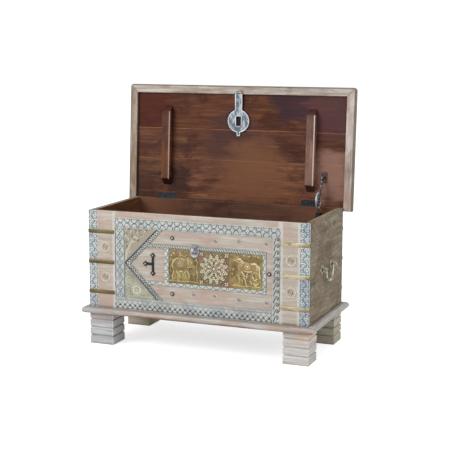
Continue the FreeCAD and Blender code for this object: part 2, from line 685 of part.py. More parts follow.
pins = []
for side in (-1, 1):
    pin = body("pin")
    prism(pin, "YZ", "-hinge_length / 2", [circle(0, 0, "pin_radius")], "hinge_length")
    pins.append(place(pin, x=f"{side} * hinge_at"))
place(group("hinge_pins", pins), y="pin_at", z="pin_height")

case_screws = [leaf_screw(-1, side, along) for side in (-1, 1) for along in leaf_screws()]
place(group("hinge_case_screws", case_screws), y="pin_at", z="pin_height")
lid_screws = [leaf_screw(1, side, along) for side in (-1, 1) for along in leaf_screws()]
on_lid(group("hinge_lid_screws", lid_screws))

# Lid, drawn closed round the hinge pin, so that the front is at -Y. The frame's rails are cut
# from one blank with rounded corners and edges.
blank = body("lid_blank")
prism(blank, "XY", "rim_under",
      [oblong("-lid_half_out", "lid_half_out", "-lid_reach", "rim_tail")], "panel_top - (rim_under)")
rounded(blank, "rim_corner", lambda middle, along: abs(along.z) > 0.9 and middle.y < 0)
rounded(blank, "rim_round", lambda middle, along: abs(along.z) < 0.1)


def lid_rail(label, outline, low, cuts):
    """A rail of the lid: the part of the blank over an outline, less its housings."""
    stock = body(label + "_stock")
    prism(stock, "XY", low, [outline], f"panel_top - ({low})")
    for plane, start, outlines, length in cuts:
        prism(stock, plane, start, outlines, length, cut=True)
    made = doc.addObject("Part::Common", "Rail")
    made.Base = stock
    made.Tool = blank
    made.Label = label
    return subpart(on_lid(made))


leg_at = "hasp_knuckle / 2 + hasp_leg_gap + hasp_wire"
leg_holes = [circle(f"{side} * ({leg_at})", "-hasp_at", "hasp_wire + pin_play") for side in (-1, 1)]
lid_rail("lid_frame_front",
         [("-lid_half_out", "-lid_reach"), ("lid_half_out", "-lid_reach"),
          ("lid_half_in", "-lid_inner"), ("-lid_half_in", "-lid_inner")],
         "rim_under", [("XY", "rim_under", leg_holes, "hasp_leg")])
for name, side in (("left", -1), ("right", 1)):
    lid_rail(f"lid_frame_{name}",
             [(f"{side} * lid_half_in", "-lid_inner"), (f"{side} * lid_half_out", "-lid_reach"),
              (f"{side} * lid_half_out", "rim_tail"), (f"{side} * lid_half_in", "rim_tail")],
             "rim_under", [])

housings = []
for side in (-1, 1):
    middle = f"{side} * hinge_at"
    ends = (f"{middle} - hinge_length / 2", f"{middle} + hinge_length / 2")
    housings.append(("XY", "panel_under", [oblong(*ends, "-hinge_leaf", 0)], "leaf_thick"))
    housings.append(("XY", "panel_under",
                     [oblong(*ends, "-barrel_radius - barrel_space", "barrel_radius + barrel_space")],
                     "barrel_radius + barrel_space"))
    screw_holes = [circle(f"{middle} + {along}", "-screw_back", "screw_shank + pin_play")
                   for along in leaf_screws()]
    housings.append(("XY", "panel_under", screw_holes, "screw_length + trim_gap"))
lid_rail("lid_frame_back", oblong("-lid_half_in", "lid_half_in", "rim_tail - rim_back_rail", "rim_tail"),
         "panel_under", housings)

joints = ["rim_back_rail - rim_tail", "board_one", "board_two", "board_three", "lid_inner"]
for number in range(4):
    on_lid(board(f"lid_board_{number + 1}", ("-lid_half_in", "lid_half_in"),
                 (f"-({joints[number + 1]})", f"-({joints[number]})"), ("panel_under", "panel_top")))

for name, side in (("left", -1), ("right", 1)):
    batten = on_lid(body(f"batten_{name}"))
    prism(batten, "YZ", f"{side} * batten_middle - batten_width / 2",
          [[("-batten_near", "panel_under"), ("-batten_far", "panel_under"),
            ("batten_slope - batten_far", "panel_under - batten_height"),
            ("-batten_near - batten_slope", "panel_under - batten_height")]], "batten_width")
    rounded(batten, "rim_round",
            lambda middle, along: middle.z < value("panel_under - batten_height / 4")
            and abs(middle.x - side * value("batten_middle")) > value("batten_width / 4"))
    subpart(batten)

# Hasp eye: a wire staple whose crossbar carries the hasp and whose legs are driven into the rail.
hasp_eye = on_lid(body("hasp_eye"))
prism(hasp_eye, "YZ", f"-({leg_at}) - hasp_wire", [circle("-hasp_at", "-hasp_out", "hasp_wire")],
      f"2 * ({leg_at} + hasp_wire)")
for side in (-1, 1):
    prism(hasp_eye, "XY", "-hasp_out", [circle(f"{side} * ({leg_at})", "-hasp_at", "hasp_wire")],
          "hasp_out + rim_under + hasp_leg")
subpart(hasp_eye)

# Hasp, drawn hanging from its pivot with its face towards -Y.
hasp = body("hasp")
prism(hasp, "YZ", "-hasp_knuckle / 2", [circle(0, 0, "hasp_curl")], "hasp_knuckle")
prism(hasp, "XZ", "-hasp_curl", [oblong("-hasp_knuckle / 2", "hasp_knuckle / 2", "-hasp_disc", 0)],
      "hasp_thick")
prism(hasp, "XZ", "-hasp_curl",
      [oblong("-hasp_stem / 2", "hasp_stem / 2", "-hasp_disc", "-hasp_wire - hasp_leg_gap")], "hasp_thick")
prism(hasp, "XZ", "-hasp_curl", [circle(0, "-hasp_disc", "hasp_disc_radius")], "hasp_thick")
prism(hasp, "XZ", "-hasp_curl", [oblong("-hasp_tab / 2", "hasp_tab / 2", "-hasp_tip", "-hasp_disc")],
      "hasp_thick")
prism(hasp, "XZ", "-hasp_curl - overrun",
      [oblong("-slot_width / 2", "slot_width / 2",
              "-hasp_disc - slot_height / 2", "slot_height / 2 - hasp_disc")],
      "hasp_thick + 2 * overrun", cut=True)
prism(hasp, "YZ", "-hasp_stem", [circle(0, 0, "hasp_wire + pin_play")], "2 * hasp_stem", cut=True)
place(hasp, y="pin_at - hasp_at * cos(open_angle) - hasp_out * sin(open_angle)",
      z="pin_height + hasp_at * sin(open_angle) - hasp_out * cos(open_angle)",
      axis=(-1, 0, 0), angle="hasp_lean")
subpart(hasp)

# Folding lid stay on the right: bracket, arm with the elbow's disc, plain arm and bracket.
low_layer = "stay_at - stay_space / 2 - stay_arm"
high_layer = "stay_at + stay_space / 2"


def stay_arm(label, length, end_radius, layer):
    """An arm drawn down from its pivot, with a bore at the pivot and a round far end."""
    made = body(label)
    prism(made, "YZ", layer, [oblong("-stay_width / 2", "stay_width / 2", f"-({length})", 0)], "stay_arm")
    prism(made, "YZ", layer, [circle(0, 0, "stay_width / 2 + stay_arm / 2")], "stay_arm")
    prism(made, "YZ", layer, [circle(0, f"-({length})", end_radius)], "stay_arm")
    prism(made, "YZ", f"{layer} - overrun", [circle(0, 0, "stay_pivot + pin_play")],
          "stay_arm + 2 * overrun", cut=True)
    return subpart(made)


lower = stay_arm("stay_lower_arm", "lower_arm", "elbow_disc", low_layer)
place(lower, y="pin_at - stay_low_in", z="pin_height - stay_low_down", axis=(-1, 0, 0),
      angle="180 deg - atan(elbow_run / elbow_climb)")
upper = stay_arm("stay_upper_arm", "upper_arm", "stay_width / 2 + stay_arm", high_layer)
prism(upper, "YZ", f"{high_layer} + stay_arm", [circle(0, "-(upper_arm)", "stay_head")], "stay_arm")
place(upper, y="pin_at - stay_top_in", z="pin_height + stay_top_up", axis=(-1, 0, 0),
      angle="-atan(upper_run / upper_climb)")


def stay_bracket(label, lug, pin_start, head, base):
    """A plate screwed to the wood, a lug that stands off it, and the headed pin that it carries.

    It is drawn round the pin, with the face of the wood above it at the height base."""
    made = body(label)
    middle = f"{lug} + stay_arm / 2"
    prism(made, "XY", f"{base} - bracket_plate",
          [oblong(f"{middle} - bracket_width / 2", f"{middle} + bracket_width / 2",
                  "-bracket_length / 2", "bracket_length / 2")], "bracket_plate")
    prism(made, "YZ", lug, [oblong("-stay_head", "stay_head", 0, base)], "stay_arm")
    prism(made, "YZ", lug, [circle(0, 0, "stay_head")], "stay_arm")
    prism(made, "YZ", pin_start, [circle(0, 0, "stay_pivot")], "2 * stay_arm + 2 * stay_space")
    prism(made, "YZ", head, [circle(0, 0, "stay_head")], "stay_arm / 2")
    return subpart(made)


low_lug = f"{low_layer} - stay_space - stay_arm"
low_bracket = stay_bracket("stay_lower_bracket", low_lug, low_lug, high_layer,
                           "stay_low_in - pin_back - wall")
place(low_bracket, y="pin_at - stay_low_in", z="pin_height - stay_low_down", axis=(-1, 0, 0), angle="90")
high_head = "stay_at - stay_space / 2 - stay_arm / 2"
high_bracket = stay_bracket("stay_upper_bracket", f"{high_layer} + stay_arm + stay_space",
                            "stay_at - stay_space / 2", high_head, "stay_high_out + panel_under")
place(high_bracket, y="pin_at - stay_top_in", z="pin_height + stay_top_up", axis=(-1, 0, 0),
      angle="open_angle")

# Every object must be sound, and every cut must have removed wood or metal, before files are written.
doc.recompute()
faults = []
for item in doc.Objects:
    home = item.getParentGeoFeatureGroup() or item
    if "Invalid" in item.State or "Error" in item.State:
        faults.append(f"{item.Name} of {home.Label} failed: {item.getStatusString()}")
    elif item.TypeId in ("PartDesign::Pocket", "PartDesign::SubtractiveCone"):
        if item.BaseFeature.Shape.Volume - item.Shape.Volume < 1e-6 * item.Shape.Volume:
            faults.append(f"{item.Name} of {home.Label} cuts nothing")
for node in nodes:
    if node.Shape.isNull() or not node.Shape.isValid() or not node.Shape.Solids:
        faults.append(f"{node.Label} has no sound solid")
if faults:
    raise SystemExit("\n".join(faults))
for node in nodes:
    node.Shape.exportStep(f"parts/{node.Label}.step")
    print(node.Label, len(node.Shape.Solids), "solids,", round(node.Shape.Volume), "mm3")
print(len(nodes), "pieces written")
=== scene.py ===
import json
import math
import bmesh
import bpy
import numpy as np
from mathutils import Matrix, Vector


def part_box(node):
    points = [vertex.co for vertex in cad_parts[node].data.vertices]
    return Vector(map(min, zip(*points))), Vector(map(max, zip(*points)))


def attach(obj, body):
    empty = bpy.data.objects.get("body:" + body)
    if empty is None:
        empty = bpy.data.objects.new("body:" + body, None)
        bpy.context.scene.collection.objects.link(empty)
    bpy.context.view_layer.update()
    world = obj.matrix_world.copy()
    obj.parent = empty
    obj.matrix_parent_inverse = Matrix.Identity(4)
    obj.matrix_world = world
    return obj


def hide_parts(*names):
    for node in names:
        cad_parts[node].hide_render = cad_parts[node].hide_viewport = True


# A carved wooden trunk on block feet, with its lid thrown open. The sections follow the trunk
# as it is put together. Places are metres in the frame's own axes, and carved patterns are
# drawn in millimetres across the front.
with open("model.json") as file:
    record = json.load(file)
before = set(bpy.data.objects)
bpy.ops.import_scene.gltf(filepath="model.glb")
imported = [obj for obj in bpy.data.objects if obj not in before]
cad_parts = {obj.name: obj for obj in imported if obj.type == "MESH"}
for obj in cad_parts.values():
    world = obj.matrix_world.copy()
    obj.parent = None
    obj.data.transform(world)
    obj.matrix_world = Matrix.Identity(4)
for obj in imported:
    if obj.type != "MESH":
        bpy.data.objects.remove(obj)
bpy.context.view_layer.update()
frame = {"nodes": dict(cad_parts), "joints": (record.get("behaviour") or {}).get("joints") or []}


# Studio: a pale floor that runs into a white backdrop, a large soft lamp at the front left,
# a weaker one at the right, and the camera a little above the lid's hinge line.
def add(tree, kind, inputs=None, **settings):
    """A node with its settings made, and its inputs linked to a socket or set to a value."""
    made = tree.nodes.new(kind)
    for key, value in settings.items():
        setattr(made, key, value)
    for key, value in (inputs or {}).items():
        if isinstance(value, bpy.types.NodeSocket):
            tree.links.new(value, made.inputs[key])
        else:
            made.inputs[key].default_value = value
    return made


def stand(name, data):
    """An object in the scene."""
    made = bpy.data.objects.new(name, data)
    bpy.context.scene.collection.objects.link(made)
    return made


def bare_tree(owner):
    """The node tree of a material or world, emptied."""
    owner.use_nodes = True
    owner.node_tree.nodes.clear()
    return owner.node_tree


floor_mesh = bpy.data.meshes.new("floor")
floor_mesh.from_pydata([(-20, -20, 0), (20, -20, 0), (20, 20, 0), (-20, 20, 0)], [], [(0, 1, 2, 3)])
floor = stand("floor", floor_mesh)
floor_paint = bpy.data.materials.new("floor_paint")
tree = bare_tree(floor_paint)
matt = add(tree, "ShaderNodeBsdfDiffuse", {"Color": (0.8, 0.8, 0.8, 1)})
ray = add(tree, "ShaderNodeLightPath").outputs
glow_level = add(tree, "ShaderNodeMath", {0: ray["Is Camera Ray"], 1: 0.68}, operation="MULTIPLY")
glow = add(tree, "ShaderNodeEmission", {"Color": (1, 1, 1, 1), "Strength": glow_level.outputs[0]})
both = add(tree, "ShaderNodeAddShader", {0: matt.outputs[0], 1: glow.outputs[0]})
add(tree, "ShaderNodeOutputMaterial", {"Surface": both.outputs[0]})
floor_mesh.materials.append(floor_paint)

world = bpy.data.worlds.new("studio")
bpy.context.scene.world = world
tree = bare_tree(world)
room = add(tree, "ShaderNodeBackground", {"Color": (0.97, 0.98, 1.0, 1), "Strength": 0.62})
backdrop = add(tree, "ShaderNodeBackground", {"Color": (1, 1, 1, 1)})
ray = add(tree, "ShaderNodeLightPath").outputs
seen = ray["Is Camera Ray"]
for kind in ("Is Glossy Ray", "Is Transmission Ray"):
    seen = add(tree, "ShaderNodeMath", {0: seen, 1: ray[kind]}, operation="MAXIMUM").outputs[0]
choice = add(tree, "ShaderNodeMixShader", {0: seen, 1: room.outputs[0], 2: backdrop.outputs[0]})
add(tree, "ShaderNodeOutputWorld", {"Surface": choice.outputs[0]})

for name, place, width, power in (("key_lamp", (-2.6, -3.4, 3.0), 2.4, 118),
                                  ("side_lamp", (3.6, -0.6, 2.2), 2.2, 26)):
    lamp = bpy.data.lights.new(name, "AREA")
    lamp.size = width
    lamp.energy = power
    holder = stand(name, lamp)
    holder.location = place
    holder.rotation_euler = (Vector((0, 0, 0.4)) - Vector(place)).to_track_quat("-Z", "Y").to_euler()

azimuth, elevation, roll = (math.radians(angle) for angle in (21.676, 9.201, 0.122))
back = Vector((math.sin(azimuth) * math.cos(elevation), -math.cos(azimuth) * math.cos(elevation),
               math.sin(elevation)))
level = Vector((math.cos(azimuth), math.sin(azimuth), 0))
upright = back.cross(level)
right = math.cos(roll) * level + math.sin(roll) * upright
above = math.cos(roll) * upright - math.sin(roll) * level
lens = bpy.data.cameras.new("camera")
lens.sensor_width = 36
lens.lens = 91.92
camera = stand("camera", lens)
aim, distance = Vector((0.03214, -0.01309, 0.43239)), 4.1398
camera.matrix_world = (Matrix.Translation(aim + distance * back)
                       @ Matrix((right, above, back)).transposed().to_4x4())
bpy.context.scene.camera = camera
bpy.context.scene.view_settings.view_transform = "Standard"


# Side walls and the inside of the case: planed boards of a brown hardwood. The outside of the
# side walls is grey with dirt and long scratches, and the inside is stained red-brown, the left
# wall's inside darker still as painted shade.
def paint(red, green, blue):
    """A colour as it shows on a screen, 0 to 255, as the shader's own value."""
    shares = [value / 255 for value in (red, green, blue)]
    return tuple(((s + 0.055) / 1.055) ** 2.4 if s > 0.04045 else s / 12.92 for s in shares) + (1,)


class Finish:
    """A surface finish: a material, with short calls for the nodes that the trunk's finishes use.
    A colour is a socket, or three numbers as on a screen. tone is the base colour so far."""

    def __init__(self, name, roughness=0.6, metallic=0.0):
        self.material = bpy.data.materials.new(name)
        self.material.use_nodes = True
        self.tree = self.material.node_tree
        self.inputs = self.tree.nodes["Principled BSDF"].inputs
        self.inputs["Roughness"].default_value = roughness
        self.inputs["Metallic"].default_value = metallic
        self.where = self.add("ShaderNodeTexCoord").outputs["Object"]

    def add(self, kind, inputs=None, **settings):
        return add(self.tree, kind, inputs, **settings)

    def noise(self, place, detail, rough, warp=0.0):
        return self.add("ShaderNodeTexNoise", {"Vector": place, "Scale": 1.0, "Detail": detail,
                                               "Roughness": rough, "Distortion": warp}).outputs[0]

    def spots(self, size, stretch=(1, 1, 1), seed=0.0, detail=4.0, rough=0.55, warp=0.0):
        """Noise of about that size in metres, drawn out along an axis where its stretch is large."""
        scale = [1 / (size * factor) for factor in stretch]
        placed = self.add("ShaderNodeMapping", {"Vector": self.where, "Scale": scale,
                                                "Location": (seed, seed * 1.7 + 3, seed * 0.6 - 5)})
        return self.noise(placed.outputs[0], detail, rough, warp)

    def patches(self, low, high, *noise, **more):
        """Spots as a mask, 0 where they are below low and 1 where they are above high."""
        return self.between(self.spots(*noise, **more), low, high)

    def sum(self, kind, first, second=0.5, third=0.5):
        return self.add("ShaderNodeMath", {0: first, 1: second, 2: third}, operation=kind).outputs[0]

    def times(self, first, *others):
        for other in others:
            first = self.sum("MULTIPLY", first, other)
        return first

    def between(self, value, low, high):
        """0 below low and 1 above high, or the other way round where low is the larger."""
        if low > high:
            return self.sum("SUBTRACT", 1.0, self.between(value, high, low))
        return self.add("ShaderNodeMapRange", {"Value": value, "From Min": low, "From Max": high},
                        interpolation_type="SMOOTHSTEP").outputs[0]

    def along(self, axis):
        return self.add("ShaderNodeSeparateXYZ", {0: self.where}).outputs[axis]

    def away(self, place):
        """Distance from a point."""
        return self.add("ShaderNodeVectorMath", {0: self.where, 1: place},
                        operation="DISTANCE").outputs["Value"]

    def cut(self, speck, spread):
        """How deep a carved surface lies, from 0 at its face to 1 at its grooves, uneven by a noise."""
        depth = self.add("ShaderNodeAttribute", attribute_name="cut").outputs["Fac"]
        return self.sum("ADD", depth, self.times(self.sum("SUBTRACT", speck, 0.5), spread))

    def edges(self, width):
        """1 along sharp outer edges, where the finish wears off."""
        bevel = self.add("ShaderNodeBevel", {"Radius": width}, samples=4).outputs[0]
        normal = self.add("ShaderNodeNewGeometry").outputs["Normal"]
        turn = self.add("ShaderNodeVectorMath", {0: bevel, 1: normal}, operation="DOT_PRODUCT")
        return self.between(turn.outputs["Value"], 0.995, 0.86)

    def shade_in_corners(self, reach):
        """1 in corners and under ledges, where shade falls, for painting shade into a colour."""
        open_share = self.add("ShaderNodeAmbientOcclusion", {"Distance": reach}, samples=6).outputs["AO"]
        return self.between(open_share, 0.92, 0.45)

    def mix(self, share, first, second):
        first, second = (paint(*tone) if isinstance(tone, tuple) else tone for tone in (first, second))
        return self.add("ShaderNodeMix", {0: share, 6: first, 7: second}, data_type="RGBA").outputs[2]

    def colour(self, tone):
        self.tone = tone
        self.tree.links.new(tone, self.inputs["Base Color"])

    def lay(self, colour, *shares):
        """Lay a colour over the base colour, as strongly as the product of some shares."""
        self.colour(self.mix(self.times(*shares), self.tone, colour))

    def rough(self, value, low, high):
        made = self.add("ShaderNodeMapRange", {"Value": value, "To Min": low, "To Max": high})
        self.tree.links.new(made.outputs[0], self.inputs["Roughness"])

    def bump(self, height, depth, strength=0.5):
        made = self.add("ShaderNodeBump", {"Height": height, "Distance": depth, "Strength": strength})
        self.tree.links.new(made.outputs[0], self.inputs["Normal"])


def wood(name, grain, body, pale, warm, dark, seed=0.0, pale_share=0.5, warm_share=0.4, dark_share=0.5,
         worn=None, roughness=0.72, corner_shade=0.6):
    """Planed board: long grain streaks, blotches of wash or stain, thin dark pores, worn edges and
    painted shade in the corners. grain holds the axes, 0 to 2, that the streaks are drawn out along."""
    made = Finish(name, roughness)
    made.inputs["Specular IOR Level"].default_value = 0.25

    def drawn(factor):
        return tuple(factor if axis in grain else 1.0 for axis in range(3))

    streak = made.spots(0.011, drawn(14.0), seed, 6, 0.62)
    pores = made.spots(0.0021, drawn(40.0), seed + 4, 3, 0.7)
    line = made.spots(0.0055, drawn(16.0), seed + 13, 5, 0.6)
    made.colour(made.mix(pale_share, body, made.mix(made.between(streak, 0.42, 0.66), body, pale)))
    made.lay(warm, made.patches(0.46, 0.62, 0.09, drawn(1.6), seed + 9, 5, 0.6, 0.6), warm_share)
    made.lay(dark, made.patches(0.5, 0.72, 0.03, drawn(7.0), seed + 2, 4), dark_share * 0.55)
    made.lay(dark, made.between(pores, 0.56, 0.74), dark_share)
    made.lay(dark, made.between(line, 0.55, 0.7), dark_share * 0.7)
    made.lay(pale, made.between(line, 0.44, 0.3), pale_share * 0.6)
    if worn:
        made.lay(worn, made.edges(0.004), made.patches(0.3, 0.55, 0.02, seed=seed))
    # Painted shade: the colour darkens in corners and under ledges, where less light reaches.
    made.lay(tuple(0.45 * value for value in dark), made.shade_in_corners(0.012), corner_shade)
    made.rough(streak, roughness - 0.12, roughness + 0.12)
    made.bump(made.sum("ADD", made.times(pores, -0.6), streak), 0.0006, 0.6)
    return made


def dress(finish, *names):
    """Give CAD pieces that keep their shape their finish."""
    for name in names:
        mesh = frame["nodes"][name].data
        mesh.materials.clear()
        mesh.materials.append(finish.material)


wall_low, wall_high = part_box("right_wall")
inner_face, blend = 0.3955, 0.0002
# The left wall's inner tones are red-brown stain made darker than the right's as painted shade.
for name, side, stain_and_shade in (("left", -1, ((82, 52, 34), (126, 82, 52))),
                          ("right", 1, ((96, 60, 42), (140, 92, 64)))):
    wall = wood(f"{name}_side", (1,), (132, 119, 98), (170, 158, 136), (106, 90, 70), (70, 60, 46), seed=3.0,
                pale_share=0.8, warm_share=0.7, dark_share=0.7, worn=(110, 112, 78), roughness=0.62)
    wall.lay((146, 120, 98), wall.patches(0.48, 0.64, 0.11, seed=71.0, detail=3), 0.45)
    for turn, tall, level, mark in ((33, 95, 0.58, (182, 170, 146)), (24, 60, 0.6, (84, 74, 58)),
                                    (58, 120, 0.62, (168, 156, 132)), (41, 210, 0.6, (88, 80, 64))):
        turned = wall.add("ShaderNodeMapping", {"Vector": wall.where, "Rotation": (math.radians(turn), 0, 0)})
        lines = wall.add("ShaderNodeMapping", {"Vector": turned.outputs[0], "Scale": (60, 7, tall)})
        scratches = wall.noise(lines.outputs[0], 3.0, 0.7)
        wall.lay(mark, wall.between(scratches, level, level + 0.12), 0.62)
    wall.lay((72, 58, 44), wall.between(wall.away((side * wall_high.x, 0.075, 0.45)), 0.016, 0.007), 0.7)
    corner_line = wall.sum("MAXIMUM", wall.between(wall.along(1), wall_low.y + 0.009, wall_low.y + 0.004),
                           wall.between(wall.along(1), wall_high.y - 0.007, wall_high.y - 0.003))
    wall.lay((54, 58, 42), corner_line, wall.patches(0.3, 0.55, 0.03, (1, 1, 0.4), 27.0), 0.9)
    streaks = wall.patches(0.35, 0.7, 0.012, (1, 14, 1), 31, 6, 0.6)
    inside = wall.between(wall.along(0), side * (inner_face + blend), side * (inner_face - blend))
    wall.lay(wall.mix(streaks, *stain_and_shade), inside)
    dress(wall, f"{name}_wall")

back_wood = wood("back_wood", (0,), (92, 60, 46), (122, 84, 62), (74, 40, 34), (44, 28, 24), seed=5.0,
                 pale_share=0.6, warm_share=0.8, dark_share=0.7, worn=(150, 112, 84))
# Painted light and shade: the back wall is lighter towards both ends and darker in the middle.
back_wood.lay((140, 94, 66), back_wood.between(back_wood.sum("ABSOLUTE", back_wood.along(0)), 0.12, 0.34), 0.6)
dress(back_wood, "back_wall")
dress(wood("inner_wood", (0,), (92, 58, 42), (124, 82, 60), (76, 40, 32), (44, 28, 22), seed=6.0,
           warm_share=0.7, dark_share=0.6), "front_backing", "bottom_board")


# Plain boards of the front: soft wood under a worn lime wash, pink and peach where the wash is
# thin. The stiles, the top rail and the sunk field are planed flat and nailed to the carcass.
# A band of thicker wash runs along some edges, which are given as places on X.
stile_low, stile_high = (corner.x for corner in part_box("front_right_stile"))
for name, seed, edges, warm_share, dark_share, board in (
        ("limed_stile_left", 11.0, (-stile_low,), 0.6, 0.45, "front_left_stile"),
        ("limed_stile_right", 12.0, (stile_low, stile_high), 0.6, 0.45, "front_right_stile"),
        ("limed_rail", 14.0, (stile_low,), 0.5, 0.4, "front_top_rail"),
        ("limed_field", 17.0, (), 0.65, 0.5, "front_field_board")):
    limed = wood(name, (0,), (186, 174, 160), (222, 218, 210), (190, 160, 146), (134, 118, 104), seed=seed,
                 worn=(232, 228, 220), warm_share=warm_share, dark_share=dark_share)
    uneven = limed.patches(0.2, 0.5, 0.02, (1, 1, 4), seed + 30)
    for edge in edges:
        off = limed.sum("ABSOLUTE", limed.sum("SUBTRACT", limed.along(0), edge))
        limed.lay((214, 212, 204), limed.between(off, 0.011, 0.006), uneven, 0.7)
    dress(limed, board)


# Carved boards: four borders and two corner strips, thin boards nailed on the front. The grooves
# are cut with gouges and keep a dark grey-green wash, and the faces are rubbed back to bluish white.
def fit(name, mesh, slot, body, *replaced):
    """Put a finished mesh on the trunk as a piece that rides on a body."""
    piece = stand(name, mesh)
    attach(piece, body)
    if replaced:
        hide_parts(*replaced)


def soften(mesh, angle):
    mesh.shade_smooth()
    mesh.set_sharp_from_angle(angle=math.radians(angle))


def reworked(mesh, work):
    """Run one step of mesh work over a mesh."""
    solid = bmesh.new()
    solid.from_mesh(mesh)
    work(solid)
    solid.to_mesh(mesh)
    solid.free()


def mark_cut(mesh, values):
    """Note on each point how deep it lies, for the finish."""
    cut = mesh.attributes.new("cut", "FLOAT", "POINT")
    cut.data.foreach_set("value", np.array(values, np.float32))


def oblong(left, right, foot, top):
    return [(left, foot), (right, foot), (right, top), (left, top)]


def carve(name, stands_for, finish, depth_at, corners=None, cell=1.0, slot="carved_wood"):
    """A board whose front is cut to depth_at(x, z), all in millimetres, between four corners."""
    low, high = (corner * 1000 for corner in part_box(stands_for))
    a, b, c, d = (np.array(corner) for corner in corners or oblong(low.x, high.x, low.z, high.z))
    across = int(max(np.hypot(*(b - a)), np.hypot(*(c - d))) / cell) + 1
    up = int(max(np.hypot(*(d - a)), np.hypot(*(c - b))) / cell) + 1
    u, v = np.meshgrid(np.linspace(0, 1, across + 1), np.linspace(0, 1, up + 1))
    x, z = (a[k] * (1 - u) * (1 - v) + b[k] * u * (1 - v) + c[k] * u * v + d[k] * (1 - u) * v for k in (0, 1))
    waver = 0.45 * np.sin(x / 9.1 + z / 6.3) + 0.4 * np.sin(x / 3.7 - z / 4.9) + 0.3 * np.sin(x / 21 + z / 2.9)
    depth, share = depth_at(x + waver, z + 0.8 * waver[::-1])
    points = np.stack([x, low.y + depth, z], -1).reshape(-1, 3) / 1000
    index = np.arange(len(points)).reshape(up + 1, across + 1)
    faces = np.stack([index[:-1, :-1], index[:-1, 1:], index[1:, 1:], index[1:, :-1]], -1).reshape(-1, 4)
    rim = np.concatenate([index[0, :-1], index[:-1, -1], index[-1, :0:-1], index[:0:-1, 0]])
    behind = points[rim].copy()
    behind[:, 1] = high.y / 1000
    start, count = len(points), len(rim)
    after = (np.arange(count) + 1) % count
    sides = np.stack([rim, start + np.arange(count), start + after, rim[after]], -1)
    made = bpy.data.meshes.new(name)
    made.from_pydata(np.concatenate([points, behind]).tolist(), [],
                     faces.tolist() + sides.tolist() + [(start + np.arange(count)).tolist()[::-1]])
    mark_cut(made, np.concatenate([share.ravel(), np.zeros(count)]))
    reworked(made, lambda solid: bmesh.ops.remove_doubles(solid, verts=solid.verts, dist=1e-6))
    soften(made, 60)
    made.materials.append(finish.material)
    fit(name, made, slot, "case", stands_for)


def washed(name, seed, face, low, tint):
    """Carved wood with a dark wash left in its grooves."""
    made = Finish(name, 0.7)
    speck = made.spots(0.004, seed=seed, detail=5, rough=0.7)
    blot = made.spots(0.012, (1.5, 1, 1), seed + 8, 5, 0.7)
    made.colour(made.mix(made.patches(0.4, 0.65, 0.05, seed=seed + 3, detail=4), face, tint))
    made.lay(low, made.patches(0.55, 0.75, 0.003, (9, 1, 1), seed + 5, 3), 0.35)
    made.lay(low, made.between(made.cut(speck, 0.55), 0.2, 0.75))
    made.lay(low, made.between(blot, 0.55, 0.75), 0.45)
    made.lay((236, 236, 228), made.between(blot, 0.42, 0.3), 0.5)
    made.bump(speck, 0.0005)
    return made


def groove(distance, half_width, depth):
    """The cut of a gouge at a distance from the middle of its groove."""
    return depth * np.clip(1 - (distance / half_width) ** 2, 0, 1)


def grooved(*cuts):
    """The deepest of several cuts, and how dark it is."""
    depth = np.maximum.reduce(cuts)
    return depth, np.clip(depth / 1.5, 0, 1)


def cell_of(value, pitch, start=0.0):
    """Place within a repeat, from minus half a pitch to plus half."""
    return (value - start + pitch / 2) % pitch - pitch / 2


def top_pattern(x, z):
    """Touching circles along both edges, which leave four-pointed stars between them."""
    pitch = 27.5
    u = cell_of(x, pitch, pitch / 2) * 1.16
    circles = np.minimum(np.abs(np.hypot(u, z - 437) - 12.8), np.abs(np.hypot(u, z - 464) - 12.8))
    star = groove(np.abs(cell_of(x, pitch)) + np.abs(z - 450.5), 1.8, 0.6)
    edge = np.minimum(np.abs(z - 463.6), np.abs(z - 437.4))
    return grooved(groove(circles, 2.1, 1.4), star, groove(edge, 2.4, 0.8))


def runs(x, z, line):
    """For each run of a line through some points, the distance to it and how far along it that is."""
    for (ax, az), (bx, bz) in zip(line, line[1:]):
        t = np.clip(((x - ax) * (bx - ax) + (z - az) * (bz - az)) / ((bx - ax) ** 2 + (bz - az) ** 2), 0, 1)
        yield np.hypot(x - ax - t * (bx - ax), z - az - t * (bz - az)), t


middle_z = 307


def scroll(x, z):
    """The running vine up the right side: one S with two hooked ends in each repeat."""
    pitch = 22.5
    v = cell_of(z, pitch, middle_z)
    hook = [(6.4, 8.4), (3.0, 5.6), (5.4, 2.6), (9.6, 4.6), (10.4, 9.6), (6.6, 13.4), (0.6, 12.0), (-3.4, 6.6),
            (-5.0, 0.0), (-8.6, -4.6)]
    near = []
    for shift in (-pitch, 0, pitch):
        near += [away for away, t in runs(x - 296.5, v - shift - 1.5, hook)]
        near.append(np.hypot(x - 289.5, v - shift + 6.5) - 0.8)
    return groove(np.minimum.reduce(near), 1.7, 1.7)


